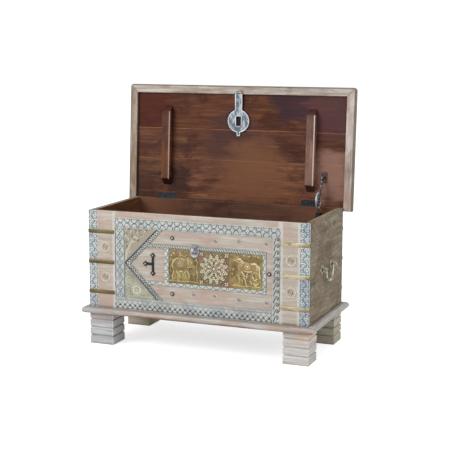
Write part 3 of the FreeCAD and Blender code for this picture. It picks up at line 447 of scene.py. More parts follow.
def foot_pattern(x, z):
    """A lattice of crossing cuts over two rows of lozenges, with small arches along the top."""
    pitch = 19.5
    inside = (z > 139) & (z < 170)
    u, v = cell_of(x, pitch), z - 154.5
    fade = np.clip((176 - z) / 22, 0.5, 1)
    first, second = np.abs(cell_of(x + v, pitch)) * 0.71, np.abs(cell_of(x - v, pitch)) * 0.71
    lattice = np.maximum(groove(first, 1.35, 1.5), groove(second, 1.35, 1.5)) * inside * fade
    outer = groove(np.abs(np.abs(u) + np.abs(v) - 6.8), 0.9, 0.7)
    lozenge = groove(np.abs(u) + np.abs(v + 1), 5.0, 2.0) + outer
    notch = groove(np.abs(cell_of(x, pitch, pitch / 2)) + np.abs(np.abs(v) - 10.5), 4.4, 1.6) * inside * fade
    arches = groove(np.abs(np.hypot(cell_of(x, pitch / 2), z - 170.5) - 3.9), 1.0, 1.2) * (z > 170.5)
    edge = np.minimum(np.abs(z - 178.0), np.abs(z - 170.2))
    pattern = np.maximum.reduce([lattice, lozenge * inside, notch, arches, groove(edge, 0.9, 0.9),
                                 groove(np.abs(z - 140), 1.1, 1.3)])
    corner = np.maximum(scroll(x, z), groove(np.abs(x - 282), 1.0, 1.0))
    return grooved(np.where(x > 282, corner, pattern))


def left_pattern(x, z):
    """A column of lozenges, each with a dark heart, that touch at their points."""
    lozenge = np.abs(x + 292) + 0.9 * np.abs(cell_of(z, 29.7, middle_z))
    edge = np.minimum(np.abs(x + 309.2), np.abs(x + 274.6))
    return grooved(groove((lozenge - 12) * 0.74, 1.7, 1.6), groove(lozenge * 0.74, 3.0, 1.7),
                   groove(edge, 2.5, 1.3))


def right_pattern(x, z):
    return grooved(scroll(x, z), groove(np.abs(x - 310.2), 1.3, 1.3))


def strip_pattern(x, z):
    """A winding stem with a veined leaf in each bend."""
    pitch = 17.0
    u = x - np.sign(x) * 398
    stem = np.abs(u - 6 * np.sin(math.pi * z / pitch)) * 0.75
    v = cell_of(z, pitch, 5)
    leaf = np.hypot(np.abs(u) - 7.5, v)
    veins = groove(np.abs(np.abs(u) - 7.5 - 0.45 * v), 0.8, 1.2) * (leaf < 6)
    bud = np.hypot(u, cell_of(z, pitch, 5 + pitch / 2))
    return grooved(groove(stem, 1.5, 1.4), groove(np.abs(leaf - 5.8), 1.2, 1.4), veins, groove(bud, 1.8, 1.3),
                   groove(np.abs(np.abs(u) - 15.2), 1.1, 1.4))


border_wash = washed("border_wash", 21.0, (198, 202, 196), (98, 106, 110), (180, 186, 184))
foot_wash = washed("foot_border_wash", 22.0, (200, 202, 196), (66, 72, 75), (170, 175, 174))
scroll_wash = washed("scroll_wash", 23.0, (192, 192, 184), (70, 74, 74), (168, 168, 162))
strip_wash = washed("strip_wash", 25.0, (214, 221, 219), (86, 97, 102), (184, 195, 203))
carve("border_top_carved", "border_top", border_wash, top_pattern)
carve("border_bottom_carved", "border_bottom", foot_wash, foot_pattern)
carve("border_left_carved", "border_left", border_wash, left_pattern)
carve("border_right_carved", "border_right", scroll_wash, right_pattern)
carve("corner_strip_left_carved", "left_corner_strip", strip_wash, strip_pattern)
carve("corner_strip_right_carved", "right_corner_strip", strip_wash, strip_pattern)


# Arrowhead: two slanting bands that meet in a point at the left. Two rows of pale dots stand on a
# dark ground along each, and a dark line follows the outer edge.
band_run = 21
chevron_wash = washed("chevron_wash", 28.0, (200, 204, 199), (64, 69, 69), (166, 172, 171))
for name, sign in (("upper", 1), ("lower", -1)):
    low, high = (corner * 1000 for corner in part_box(f"chevron_{name}"))
    run = Vector((high.x - low.x - band_run, high.z - low.z)).normalized()

    def dotted(x, z):
        pitch, width = 9.5, band_run * run.y
        s = (x - low.x) * run.x + (z - middle_z) * sign * run.y
        t = (x - low.x) * run.y - (z - middle_z) * sign * run.x
        dots = np.minimum(np.hypot(cell_of(s, pitch), t - width * 0.38),
                          np.hypot(cell_of(s, pitch, pitch / 2), t - width * 0.70))
        ground = 1.3 * np.clip((dots - 2.3) / 1.2, 0, 1) * (t < width * 0.88)
        return grooved(ground, groove(np.abs(t - 1.4), 1.9, 1.9), groove(np.abs(t - width + 0.9), 0.9, 0.9))

    foot, top = (low.x, high.x - band_run)[::sign]
    carve(f"chevron_{name}_carved", f"chevron_{name}", chevron_wash, dotted,
          [(foot, low.z), (foot + band_run, low.z), (top + band_run, high.z), (top, high.z)], 0.8)


# Rosettes: two on each stile, a raised ring of beads round a small curled flower, cut into the
# wood. Geometry Nodes put one motif on four points, as they do for the small parts further on.
def repeat(name, motif, places, finish, slot, *replaced, turns=None):
    """Copies of one motif on points, as one plain mesh that rides on the case."""
    group = bpy.data.node_groups.new(name, "GeometryNodeTree")
    group.interface.new_socket("Points", in_out="INPUT", socket_type="NodeSocketGeometry")
    scale = group.interface.new_socket("Scale", in_out="INPUT", socket_type="NodeSocketFloat")
    group.interface.new_socket("Copies", in_out="OUTPUT", socket_type="NodeSocketGeometry")
    enter = add(group, "NodeGroupInput").outputs
    shape = add(group, "GeometryNodeObjectInfo", {"Object": motif}).outputs["Geometry"]
    turn = add(group, "GeometryNodeInputNamedAttribute", {"Name": "turn"}, data_type="FLOAT_VECTOR")
    copies = add(group, "GeometryNodeInstanceOnPoints",
                 {"Points": enter["Points"], "Instance": shape, "Rotation": turn.outputs["Attribute"],
                  "Scale": enter["Scale"]})
    loose = add(group, "GeometryNodeRealizeInstances", {"Geometry": copies.outputs["Instances"]})
    coat = add(group, "GeometryNodeSetMaterial", {"Geometry": loose.outputs["Geometry"],
                                                  "Material": finish.material})
    add(group, "NodeGroupOutput", {"Copies": coat.outputs["Geometry"]})
    points = bpy.data.meshes.new(name + "_points")
    points.from_pydata(places, [], [])
    facing = points.attributes.new("turn", "FLOAT_VECTOR", "POINT")
    facing.data.foreach_set("vector", np.array(turns or [(0, 0, 0)] * len(places), np.float32).ravel())
    carrier = stand(name + "_carrier", points)
    maker = carrier.modifiers.new("copies", "NODES")
    maker.node_group = group
    maker[scale.identifier] = 1.0
    bpy.context.view_layer.update()
    plain = bpy.data.meshes.new_from_object(carrier.evaluated_get(bpy.context.evaluated_depsgraph_get()))
    bpy.data.objects.remove(carrier)
    soften(plain, 50)
    fit(name, plain, slot, "case", *replaced)


def full_turn(steps):
    """The angles of a full turn in equal steps."""
    return [2 * math.pi * step / steps for step in range(steps)]


def turned_motif(name, radius, rings, spokes, height_at):
    """A round motif that faces -Y, its height over its seat given by radius and angle, in millimetres."""
    points = [(0, -height_at(0.0, 0.0), 0)]
    for ring in range(1, rings + 1):
        r = radius * ring / rings
        points += [(r * math.cos(angle), -height_at(r, angle), r * math.sin(angle))
                   for angle in full_turn(spokes)]
    points += [(x, 0.3, z) for x, y, z in points[-spokes:]]
    pairs = [(spoke, (spoke + 1) % spokes) for spoke in range(spokes)]
    faces = [(0, 1 + this, 1 + after) for this, after in pairs]
    for near in range(1, 1 + rings * spokes, spokes):
        far = near + spokes
        faces += [(near + this, far + this, far + after, near + after) for this, after in pairs]
    faces.append([1 + rings * spokes + spoke for spoke in range(spokes)][::-1])
    made = bpy.data.meshes.new(name)
    made.from_pydata([(x / 1000, y / 1000, z / 1000) for x, y, z in points], [], faces)
    top = max(-y for x, y, z in points)
    mark_cut(made, [min(1.0, max(0.0, 1.15 * (1 + y / top))) for x, y, z in points])
    return bpy.data.objects.new(name, made)


def ringed_flower(r, angle, ring, middle):
    """Height of a flower: a raised beaded ring, and two curved cuts round a slanting one."""
    raised = math.exp(-((r - ring) / 1.7) ** 4) * (0.22 + 0.2 * math.cos(12 * angle))
    arcs = math.exp(-((r - middle) / 1.1) ** 2) * max(0.0, math.cos(angle + 0.4) ** 2 - 0.1)
    slant = math.exp(-(r * math.sin(angle - 0.9) / 0.9) ** 2) * (r < middle * 0.5)
    return 0.62 + raised - 0.5 * max(arcs, 0.8 * slant)


def dome(radius):
    """Height of a dome of that radius over its rim, from 1 in the middle to 0."""
    return lambda r: math.sqrt(max(0.0, 1 - (r / radius) ** 2))


front_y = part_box("border_top")[0].y
rosette_wood = washed("rosette_wood", 33.0, (226, 215, 196), (118, 102, 84), (210, 198, 180))
rosette = turned_motif("rosette", 19.5, 28, 96, lambda r, angle: ringed_flower(r, angle, 16.8, 7.6))
repeat("stile_rosettes", rosette,
       [(side * 0.3495, front_y, height) for side in (-1, 1) for height in (0.360, 0.251)],
       rosette_wood, "carved_wood")


# Narrow carved frame: two rails and two posts, pinned on the field round the brass plates. The
# upper rail is cut like a rope, the others in scallops.
def scallops(along, across, height, pitch):
    """A row of half moons with their flat side at across = 0."""
    reach = np.hypot(cell_of(along, pitch), across * pitch * 0.46 / height)
    return grooved(groove(np.abs(reach - pitch * 0.41), 1.9, 1.3),
                   groove(np.abs(reach - pitch * 0.2), 0.8, 0.5))


def rope(x, z):
    turn = 0.8 * np.sin(x / 23.0) + 0.5 * np.sin(x / 7.3)
    return grooved(groove(np.abs(cell_of(x + 0.7 * z + 2 * turn, 9.0)), 2.2, 1.7),
                   groove(np.abs(z - 372.4 - 0.4 * turn), 1.1, 1.2), groove(np.abs(z - 380.6), 0.8, 1.0))


frame_wash = washed("frame_wash", 36.0, (208, 212, 204), (96, 104, 104), (190, 196, 192))
frame_low, frame_high = (corner * 1000 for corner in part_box("inner_frame_rails"))
post_low, post_high = (corner * 1000 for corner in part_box("inner_frame_posts"))
narrow, broad = 11, 15
for name, pattern, corners in (
        ("rail_upper", rope, [(-185.8, frame_high.z - narrow), (frame_high.x, frame_high.z - narrow),
                              (frame_high.x, frame_high.z), (-174.9, frame_high.z)]),
        ("rail_lower", lambda x, z: scallops(x, frame_low.z + 10 - z, 9.5, 27.0),
         [(-180.2, frame_low.z), (frame_high.x, frame_low.z), (frame_high.x, frame_low.z + narrow),
          (-191.1, frame_low.z + narrow)]),
        ("post_left", lambda x, z: scallops(z, x - post_low.x - 1, 13.0, 25.0),
         oblong(post_low.x, post_low.x + broad, post_low.z, post_high.z)),
        ("post_right", lambda x, z: scallops(z, post_high.x - x - 1, 9.0, 25.0),
         oblong(post_high.x - narrow, post_high.x, post_low.z, post_high.z))):
    carve(f"frame_{name}", f"inner_frame_{name[:4]}s", frame_wash, pattern, corners, 0.8)


# Embossed plates: thin brass sheet beaten over a form, with an elephant, a flower and a horse.
# The hollows are dark with age and the high places are rubbed bright.
def blob(x, z, middle, radii, height, turn=0.0):
    """A rounded swelling of the sheet."""
    c, n = math.cos(math.radians(turn)), math.sin(math.radians(turn))
    u = (x - middle[0]) * c + (z - middle[1]) * n
    v = (z - middle[1]) * c - (x - middle[0]) * n
    return height * np.sqrt(np.clip(1 - (u / radii[0]) ** 2 - (v / radii[1]) ** 2, 0, 1))


def ribbon(x, z, line, width, height, taper=1.0):
    """A raised line through some points, thinner towards its end."""
    best = np.zeros_like(x)
    for number, (away, t) in enumerate(runs(x, z, line)):
        local = width * (1 + (taper - 1) * (number + t) / (len(line) - 1))
        best = np.maximum(best, height * np.sqrt(np.clip(1 - (away / local) ** 2, 0, 1)))
    return best


def raised(x, z, blobs, ribbons):
    """The highest of some swellings and raised lines, each given as its function takes it."""
    return np.maximum.reduce([blob(x, z, *each) for each in blobs] + [ribbon(x, z, *each) for each in ribbons])


def petals(x, z, middle, count, radius, reach, width, height, start=0.0):
    """A ring of leaf shapes that point outwards."""
    turns = [start + 360 * number / count for number in range(count)]
    return raised(x, z, [((middle[0] + radius * math.cos(math.radians(turn)),
                           middle[1] + radius * math.sin(math.radians(turn))), (reach, width), height, turn)
                         for turn in turns], [])


def beads(x, z, middle, radius, count, size, height):
    return petals(x, z, middle, count, radius, size, size, height)


def line_at(away, width):
    """1 on a line, falling to 0 a width away from it."""
    return np.clip(1 - np.abs(away) / width, 0, 1)


def hem(u, v, middle, half, inset):
    """A low line inside the edge of a saddle cloth."""
    cloth = np.maximum(np.abs(u - middle[0]) - half[0], np.abs(v - middle[1]) - half[1])
    return line_at(cloth + inset, 1.2) * 0.9


def embossed(height, top):
    """Turn a height over the sheet into the carver's depth and darkness."""
    return -height, np.clip(1 - height / top, 0, 1)


def chased(shape, body=0.26):
    """A low figure with a raised line chased round it and round each of its limbs."""
    return body * shape + 1.9 * np.exp(-((shape - 1.0) / 0.6) ** 2) * (shape > 0.05)


def sheet_edge(x, z, box):
    """A beaded rim round the plate."""
    low, high = box
    inside = np.minimum.reduce([x - low.x, high.x - x, z - low.z, high.z - z])
    bead = 0.5 + 0.5 * np.cos((x + z) * 2 * math.pi / 5)
    return np.maximum(line_at(inside - 1.2, 0.9) * 0.7, line_at(inside - 5, 1.6) * bead * 0.8)


def hammered(x, z):
    return 0.16 * (1 + np.sin(x * 1.31 + 2 * np.sin(z * 0.37)) * np.sin(z * 1.17 + 2 * np.sin(x * 0.41)))


def foliage(x, z, seed):
    """Small curled leaves, chased close together over the ground."""
    across = x + 2.6 * np.sin(z / 5.3 + seed)
    up = z + 2.4 * np.sin(x / 4.7 + 1.7 * seed)
    return np.clip(np.sin(across * 0.66) * np.sin(up * 0.61) - 0.3, 0, 1) * 1.4


def elephant(x, z, box):
    u, v = x - (box[0].x + box[1].x) / 2, z - box[0].z
    legs = (((-38, 10), (-34, 52)), ((-20, 10), (-22, 50)), ((2, 10), (0, 50)), ((16, 12), (12, 54)))
    shape = raised(u, v, [((-14, 66), (33, 25), 3.0), ((20, 76), (16, 18), 3.4, 10),
                          ((11, 74), (9, 15), 4.0, 15)],
                   [([(31, 72), (38, 58), (39, 42), (36, 26), (42, 18)], 5.6, 3.0, 0.5),
                    ([(30, 64), (40, 60), (47, 66)], 2.4, 3.3, 0.5),
                    ([(-46, 70), (-51, 54), (-50, 40)], 1.8, 1.8),
                    *(([top, foot], 7.2, 2.5, 0.85) for foot, top in legs)])
    shape += hem(u, v, (-13, 72), (15, 15), 1.5)
    medals = beads(u, v, (-13, 72), 8, 9, 2.2, 2.6) + blob(u, v, (-13, 72), (3.6, 3.6), 2.6)
    medals += 2.4 * line_at(np.hypot(u + 13, v - 72) - 13.5, 1.3)
    folds = raised(u, v, [], [(line, 1.9, 2.6, 0.6) for line in (
        [(14, 88), (20, 82), (16, 74), (22, 66)], [(26, 86), (30, 76), (27, 68)], [(-40, 82), (-44, 72)],
        [(-38, 42), (-44, 26), (-40, 12)], [(-24, 40), (-14, 22)], [(4, 42), (-4, 24)], [(12, 46), (24, 22)])])
    rider = raised(u, v, [((-14, 108), (5, 5.5), 2.8)],
                   [([(-16, 90), (-15, 104)], 5.0, 2.6, 0.8),
                    ([(-12, 101), (4, 96), (12, 100)], 2.2, 2.2, 0.7)])
    shape = np.maximum(shape, rider)
    ground = raised(u, v, [], [([(-54, 8), (54, 8)], 1.6, 1.2),
                               ([(48, 14), (52, 34), (47, 54), (52, 78), (44, 98), (30, 108)], 1.4, 1.5)])
    leaves = sum(blob(u, v, place, (5, 2.4), 1.5, turn) for place, turn in
                 (((46, 86), 40), ((36, 102), -20), ((48, 44), 60), ((-47, 98), 30), ((-38, 106), -30),
                  ((-50, 86), 80)))
    arch = groove(np.abs(np.hypot(u - 2, v - 22) - 13), 1.8, 1.2) * (v > 22)
    field = 0.55 * np.clip((v - 90) / 10, 0, 1) + foliage(x, z, 1.0) * (shape < 0.1)
    top = np.maximum.reduce([chased(shape), medals, folds, ground, leaves, sheet_edge(x, z, box)])
    return embossed(top + field - arch + hammered(x, z), 2.9)


def flower(x, z, box):
    u, v = x - (box[0].x + box[1].x) / 2, z - (box[0].z + box[1].z) / 2
    ring = np.hypot(u, v)
    shape = np.maximum.reduce([petals(u, v, (0, 0), 12, 44, 9, 6.6, 2.2, 15),
                               petals(u, v, (0, 0), 12, 33, 9, 5.8, 2.7),
                               petals(u, v, (0, 0), 8, 22, 8, 5.4, 3.1, 22.5),
                               2.6 * line_at(ring - 13.5, 1.6)])
    heart = np.maximum(beads(u, v, (0, 0), 9.6, 10, 2.2, 2.7), blob(u, v, (0, 0), (5.4, 5.4), 3.2))
    tips = beads(u, v, (0, 0), 51, 24, 2.2, 1.8)
    corner = sum(petals(u, v, (a * 47, b * 50), 4, 4.6, 4.4, 2.4, 1.8, 45) for a in (-1, 1) for b in (-1, 1))
    ribs = np.abs(np.sin(6 * np.arctan2(v, u))) * ring
    veins = 1.7 * np.clip(1.3 - ribs / 3.2, 0, 1) * (ring > 17) * (ring < 50)
    petal = 0.45 * shape + 0.5 * chased(shape, 0.3) + 0.4 * np.sin(ring * 0.9)
    top = np.maximum.reduce([(petal - veins) * (shape > 0), heart, tips, corner, sheet_edge(x, z, box)])
    return embossed(top + 0.8 * foliage(x, z, 2.0) * (ring > 30) + hammered(x, z), 2.9)


def horse(x, z, box):
    u, v = x - (box[0].x + box[1].x) / 2, z - box[0].z - 9
    legs = ([(-17, 56), (-25, 38), (-18, 22), (-24, 11)], [(-10, 54), (-8, 34), (-12, 11)],
            [(28, 54), (22, 36), (30, 24), (26, 11)], [(38, 56), (41, 36), (36, 22), (42, 11)])
    shape = raised(u, v, [((8, 66), (30, 16), 3.0, -4), ((31, 66), (15, 18), 3.2),
                          ((-15, 68), (13, 16), 3.1)],
                   [([(-14, 74), (-24, 88), (-33, 97)], 9.5, 3.0, 0.6),
                    ([(-33, 98), (-41, 90), (-47, 81)], 5.2, 3.1, 0.6),
                    ([(-30, 102), (-28, 108)], 2.0, 2.6, 0.5), *((line, 5.4, 2.5, 0.5) for line in legs)])
    mane = sum(ribbon(u, v, [(-28 + 4 * n, 101 - 5.4 * n), (-20 + 4 * n, 101 - 5.0 * n)], 1.5, 3.4, 0.6)
               for n in range(5))
    shape += hem(u, v, (7, 68), (14, 13), 1.4)
    medals = blob(u, v, (7, 68), (4, 4), 2.6) + beads(u, v, (7, 68), 8, 10, 2.0, 2.4)
    folds = raised(u, v, [], [(line, 2.0, 2.8, 0.6) for line in (
        [(-30, 92), (-20, 92), (-6, 84), (6, 82)], [(24, 78), (36, 80), (43, 70), (40, 58)],
        [(-14, 50), (-6, 38), (8, 34)], [(-24, 30), (-22, 16)], [(-4, 30), (2, 12), (4, 0)],
        [(26, 34), (34, 22), (44, 28)], [(30, 12), (38, 4), (48, 12)], [(18, 20), (24, 8)])])
    lines = raised(u, v, [], [([(44, 74), (51, 66), (50, 46), (53, 30)], 3.0, 2.4, 0.8),
                              ([(-42, 90), (-22, 80), (-2, 84)], 1.0, 3.9), ([(-52, 0), (52, 0)], 1.6, 1.2)])
    leaves = sum(blob(u, v, place, (5.5, 2.4), 1.5, turn) for place, turn in
                 (((-45, 56), 70), ((-48, 40), 110), ((-41, 26), 60), ((46, 104), 150), ((34, 108), 170),
                  ((12, 104), 20), ((-6, 106), -20), ((4, 30), 90), ((6, 42), 60), ((0, 20), 110)))
    chasing = foliage(x, z, 3.0) * (shape < 0.1) * np.clip((u + 20) / 30, 0, 1)
    top = np.maximum.reduce([chased(shape), medals, folds, mane, lines, leaves, sheet_edge(x, z, box)])
    return embossed(top + chasing + hammered(x, z), 2.9)


def beaten(name, seed, high, body, low, metallic, casts=()):
    """Sheet metal, dark in its hollows and rubbed bright on its high places, with patches of
    other tones on its middle level, each given as a seed and a colour."""
    made = Finish(name, 0.42, metallic)
    speck = made.spots(0.005, seed=seed, detail=5, rough=0.7)
    depth = made.cut(speck, 0.4)
    for cast_seed, cast in casts:
        body = made.mix(made.patches(0.48, 0.62, 0.05, seed=cast_seed, detail=3), body, cast)
    made.colour(made.mix(made.between(depth, 0.25, 0.7), high, body))
    made.lay(low, made.between(depth, 0.72, 1.05), made.patches(0.3, 0.62, 0.035, seed=seed + 2, detail=4))
    made.rough(speck, 0.32, 0.6)
    made.bump(speck, 0.0004, 0.4)
    return made


for name, picture, finish in (
        ("left", elephant, beaten("elephant_brass", 44.0, (218, 202, 158), (138, 115, 73), (80, 64, 37), 0.3,
                                  ((61.0, (164, 149, 90)), (63.0, (136, 104, 70))))),
        ("middle", flower, beaten("flower_brass", 45.5, (224, 217, 194), (142, 125, 90), (80, 70, 44), 0.25,
                                  ((65.0, (154, 120, 98)), (67.0, (134, 130, 82))))),
        ("right", horse, beaten("horse_brass", 44.0, (232, 216, 172), (158, 133, 86), (96, 78, 46), 0.3,
                                ((61.0, (186, 168, 104)), (63.0, (158, 124, 84)))))):
    plate_box = [corner * 1000 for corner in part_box(f"brass_plate_{name}")]
    carve(f"plate_{name}_embossed", f"brass_plate_{name}", finish,
          lambda x, z: picture(x, z, plate_box), None, 0.75, "brass")


# Corner plates of the field: paler sheet under an old cream paint, beaten into leaves in the
# upper corner and into a flower with a toothed edge in the lower one.
def zigzag(value, pitch):
    """A triangle wave between minus one and one."""
    return 4 * np.abs(cell_of(value, pitch)) / pitch - 1


def leaves_plate(x, z):
    """A broad pale stem with small leaves, and dark curled cuts round them."""
    leaves = (((-258, 396), 9, 3.6, 120), ((-266, 404), 8, 3.2, 70), ((-238, 384), 9, 3.6, 20),
              ((-264, 424), 8, 3.4, 60), ((-204, 408), 9, 3.6, 15), ((-222, 418), 8, 3.2, 95),
              ((-192, 424), 8, 3.0, 30), ((-246, 420), 9, 3.4, 80), ((-252, 348), 7, 3.0, 40))
    shape = raised(x, z, [(place, (reach, width), 1.2, turn) for place, reach, width, turn in leaves],
                   [([(-268, 322), (-262, 350), (-250, 374), (-233, 404), (-222, 398)], 5.6, 1.5, 0.7)])
    cuts = np.zeros_like(x)
    for middle, radius, facing in (((-230, 424), 4.4, 20), ((-210, 425), 4.4, 160), ((-238, 410), 4.0, 220),
                                   ((-243, 400), 3.6, 40), ((-254, 428), 3.8, 100), ((-262, 414), 3.6, 200),
                                   ((-220, 392), 4.0, 300), ((-266, 382), 3.6, 30), ((-184, 428), 3.4, 120),
                                   ((-206, 412), 3.4, 250), ((-262, 366), 3.0, 150), ((-236, 392), 3.2, 80)):
        across, up = x - middle[0], z - middle[1]
        turned = np.arctan2(up, across) - math.radians(facing)
        curl = groove(np.abs(np.hypot(across, up) - radius), 1.9, 1.4) * (np.cos(turned) > -0.35)
        cuts = np.maximum(cuts, curl)
    return embossed(0.62 + shape - 1.4 * cuts + hammered(x, z), 2.4)


def flower_plate(x, z):
    middle = (-226, 212)
    ring = np.hypot(x - middle[0], z - middle[1])
    shape = np.maximum.reduce([
        petals(x, z, middle, 14, 14.5, 6.5, 2.7, 2.0), beads(x, z, middle, 5.4, 8, 1.7, 1.6),
        blob(x, z, middle, (3, 3), 2.2), 0.9 * line_at(ring - 22.5, 1.1),
        1.7 * line_at((x + 263 - 5 * zigzag(z, 12.0)) * 0.75, 1.8), 1.2 * line_at(x + 255, 1.0) * (z < 290),
        1.3 * line_at((z - 188 - 3.4 * zigzag(x, 9.0)) * 0.75, 1.5) * (x > -252) * (x < -172)])
    return embossed(shape + hammered(x, z), 2.1)


corner_metal = beaten("corner_metal", 48.0, (194, 186, 168), (164, 155, 137), (112, 102, 80), 0.1)
flower_metal = beaten("flower_metal", 49.0, (214, 212, 192), (184, 182, 164), (124, 122, 96), 0.1)
for name, half, finish, pattern in (("leaves", "upper", corner_metal, leaves_plate),
                                    ("flower", "lower", flower_metal, flower_plate)):
    low, high = (corner * 1000 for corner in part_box(f"triangle_plate_{half}"))
    foot, top = (low.x, high.x) if half == "upper" else (high.x, low.x)
    carve(f"corner_plate_{name}", f"triangle_plate_{half}", finish, pattern,
          [(low.x, low.z), (foot, low.z), (top, high.z), (low.x, high.z)], 0.8, "brass")


# Florets: seven small rings of petals, cut into the field board over and under the plates. They
# are washed like the borders, with the wood's own pink left on their faces.
field_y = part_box("front_field_board")[0].y
floret_wood = washed("floret_wood", 37.0, (211, 201, 192), (126, 110, 100), (200, 188, 180))
repeat("field_florets", turned_motif("floret", 11, 18, 64, lambda r, angle: ringed_flower(r, angle, 9.2, 5.0)),
       [(x / 1000, field_y, z / 1000) for x, z in ((75, 406), (162, 411), (261, 410), (-8, 212), (71, 214),
                                                   (163, 208), (264, 206))], floret_wood, "carved_wood")


# Iron fittings: three domed bolts with pale eyes, which are a painted highlight on each dome, and
# the staple with its bright round plate. The hinges and the stay's lower bracket are of the same
# blackened iron.
def metal(name, roughness, metallic, levels, dull, bright, spread=None, dents=0.0, **spots):
    """Metal in patches of a dull and a bright tone; spread is the range of its roughness."""
    made = Finish(name, roughness, metallic)
    patch = made.spots(**spots)
    made.colour(made.mix(made.between(patch, *levels), dull, bright))
    if spread:
        made.rough(patch, *spread)
    if dents:
        made.bump(patch, dents)
    return made


iron = metal("black_iron", 0.45, 0.6, (0.42, 0.72), (31, 37, 42), (64, 68, 71), (0.35, 0.65), 0.0004,
             size=0.006, seed=40.0, detail=5)
dress(iron, "hinge_case_leaves", "hinge_lid_leaves", "hinge_pins",
      "hinge_case_screws", "hinge_lid_screws", "stay_lower_bracket")
dress(metal("staple_iron", 0.5, 0.3, (0.4, 0.6), (112, 112, 118), (196, 194, 198),
            size=0.006, seed=94.0, detail=5), "staple")


def boss_height(r, angle):
    if r >= 16.6:
        return 2.6
    petals = 0.7 * math.cos(10 * angle) * math.exp(-((r - 8.5) / 2.4) ** 2)
    return 3.3 + 1.1 * math.exp(-((r - 14.8) / 1.5) ** 2) + petals


staple_low, staple_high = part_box("staple")
boss_iron = metal("boss_iron", 0.5, 0.2, (0.42, 0.6), (152, 150, 158), (224, 220, 220), (0.4, 0.6),
                  size=0.005, seed=98.0, detail=5)
repeat("staple_boss", turned_motif("boss", 17.0, 14, 56, boss_height),
       [(-0.002, field_y - 0.003, (staple_low.z + staple_high.z) / 2 - 0.009)], boss_iron, "pale_iron")

stud_low, stud_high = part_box("front_bolts")
stud_edge = 0.006
stud_places = [(stud_low.x + stud_edge, stud_low.z + stud_edge),
               (stud_low.x + stud_edge, stud_high.z - stud_edge),
               (stud_high.x - stud_edge, middle_z / 1000)]
stud_dome = dome(7.4)
stud = turned_motif("bolt_head", 7.2, 10, 32,
                    lambda r, angle: 1.2 + 1.6 * stud_dome(r) + 0.5 * math.cos(4 * angle) * (r > 4))
repeat("bolt_heads", stud, [(x, field_y, z) for x, z in stud_places], iron, "iron", "front_bolts")
eye_iron = metal("eye_iron", 0.6, 0.1, (0.4, 0.6), (150, 140, 128), (196, 186, 172),
                 size=0.004, seed=99.0, detail=4)
# Painted highlight: a pale cap on each domed bolt head.
repeat("bolt_eyes", turned_motif("bolt_eye", 4.2, 6, 20, lambda r, angle: 3.6 - 0.05 * r * r - (r < 1.2)),
       [(x, field_y + 0.0001, z) for x, z in stud_places], eye_iron, "pale_iron")


# Tee: a flat bar and a short arm of blackened iron, cut from sheet. Each end is cut into three
# leaves and held by one pale nail.
def lofted(name, parts, loop=False):
    """A skin through each part's rings of points, closed at its ends unless the rings run in a loop."""
    points, faces = [], []
    for rings in parts:
        start, count, whole = len(points), len(rings[0]), len(rings) * len(rings[0])
        points += [point for ring in rings for point in ring]
        for near in range(start, start + whole - (0 if loop else count), count):
            far = start + (near - start + count) % whole
            for step in range(count):
                after = (step + 1) % count
                faces.append((near + step, near + after, far + after, far + step))
        if not loop:
            faces += [list(range(start, start + count))[::-1],
                      list(range(start + whole - count, start + whole))]
    made = bpy.data.meshes.new(name)
    made.from_pydata(points, [], faces)
    reworked(made, lambda solid: bmesh.ops.recalc_face_normals(solid, faces=solid.faces))
    return made


tee_low, tee_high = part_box("iron_tee")
tee_middle = (tee_low.z + tee_high.z) / 2
bar_x, arm_x = tee_high.x - 0.0055, tee_low.x + 0.0015
bar_top, bar_foot = tee_high.z + 0.003, tee_low.z - 0.004
strap_section = [(-1, 0), (-1, 0.6), (-0.72, 1), (0.72, 1), (1, 0.6), (1, 0)]
for name, line, width, lift in (("tee_bar", [(bar_x, bar_foot), (bar_x, bar_top)], 0.0040, 0.0034),
                                ("tee_arm", [(arm_x, tee_middle), (bar_x, tee_middle)], 0.0044, 0.0036)):
    run = (Vector(line[1]) - Vector(line[0])).normalized()
    rings = [[(x - run.y * across * width, field_y + 0.0004 - up * lift, z + run.x * across * width)
              for across, up in strap_section] for x, z in line]
    strap = lofted(name, [rings])
    strap.materials.append(iron.material)
    fit(name, strap, "iron", "case", "iron_tee")
tee_ends = ((bar_x, bar_top, 0, 1), (bar_x, bar_foot, 0, -1), (arm_x, tee_middle, -1, 0))
leaf_out = 0.0056
leaves = [(x + leaf_out * (turn * abs(dz) if turn else dx), field_y,
           z + leaf_out * (turn * abs(dx) if turn else dz))
          for x, z, dx, dz in tee_ends for turn in (-1, 0, 1)]
leaf_dome = dome(3.6)
repeat("tee_leaves", turned_motif("tee_leaf", 3.5, 5, 20, lambda r, angle: 2.6 + 0.9 * leaf_dome(r)), leaves,
       iron, "iron", "iron_tee")
repeat("tee_nails", turned_motif("tee_nail", 3.2, 5, 20,
                                 lambda r, angle: 0.6 + math.sqrt(max(0.0, 10.4 - r * r)) * 0.4),
       [(x, field_y - 0.0032, z) for x, z, dx, dz in tee_ends], eye_iron, "pale_iron")


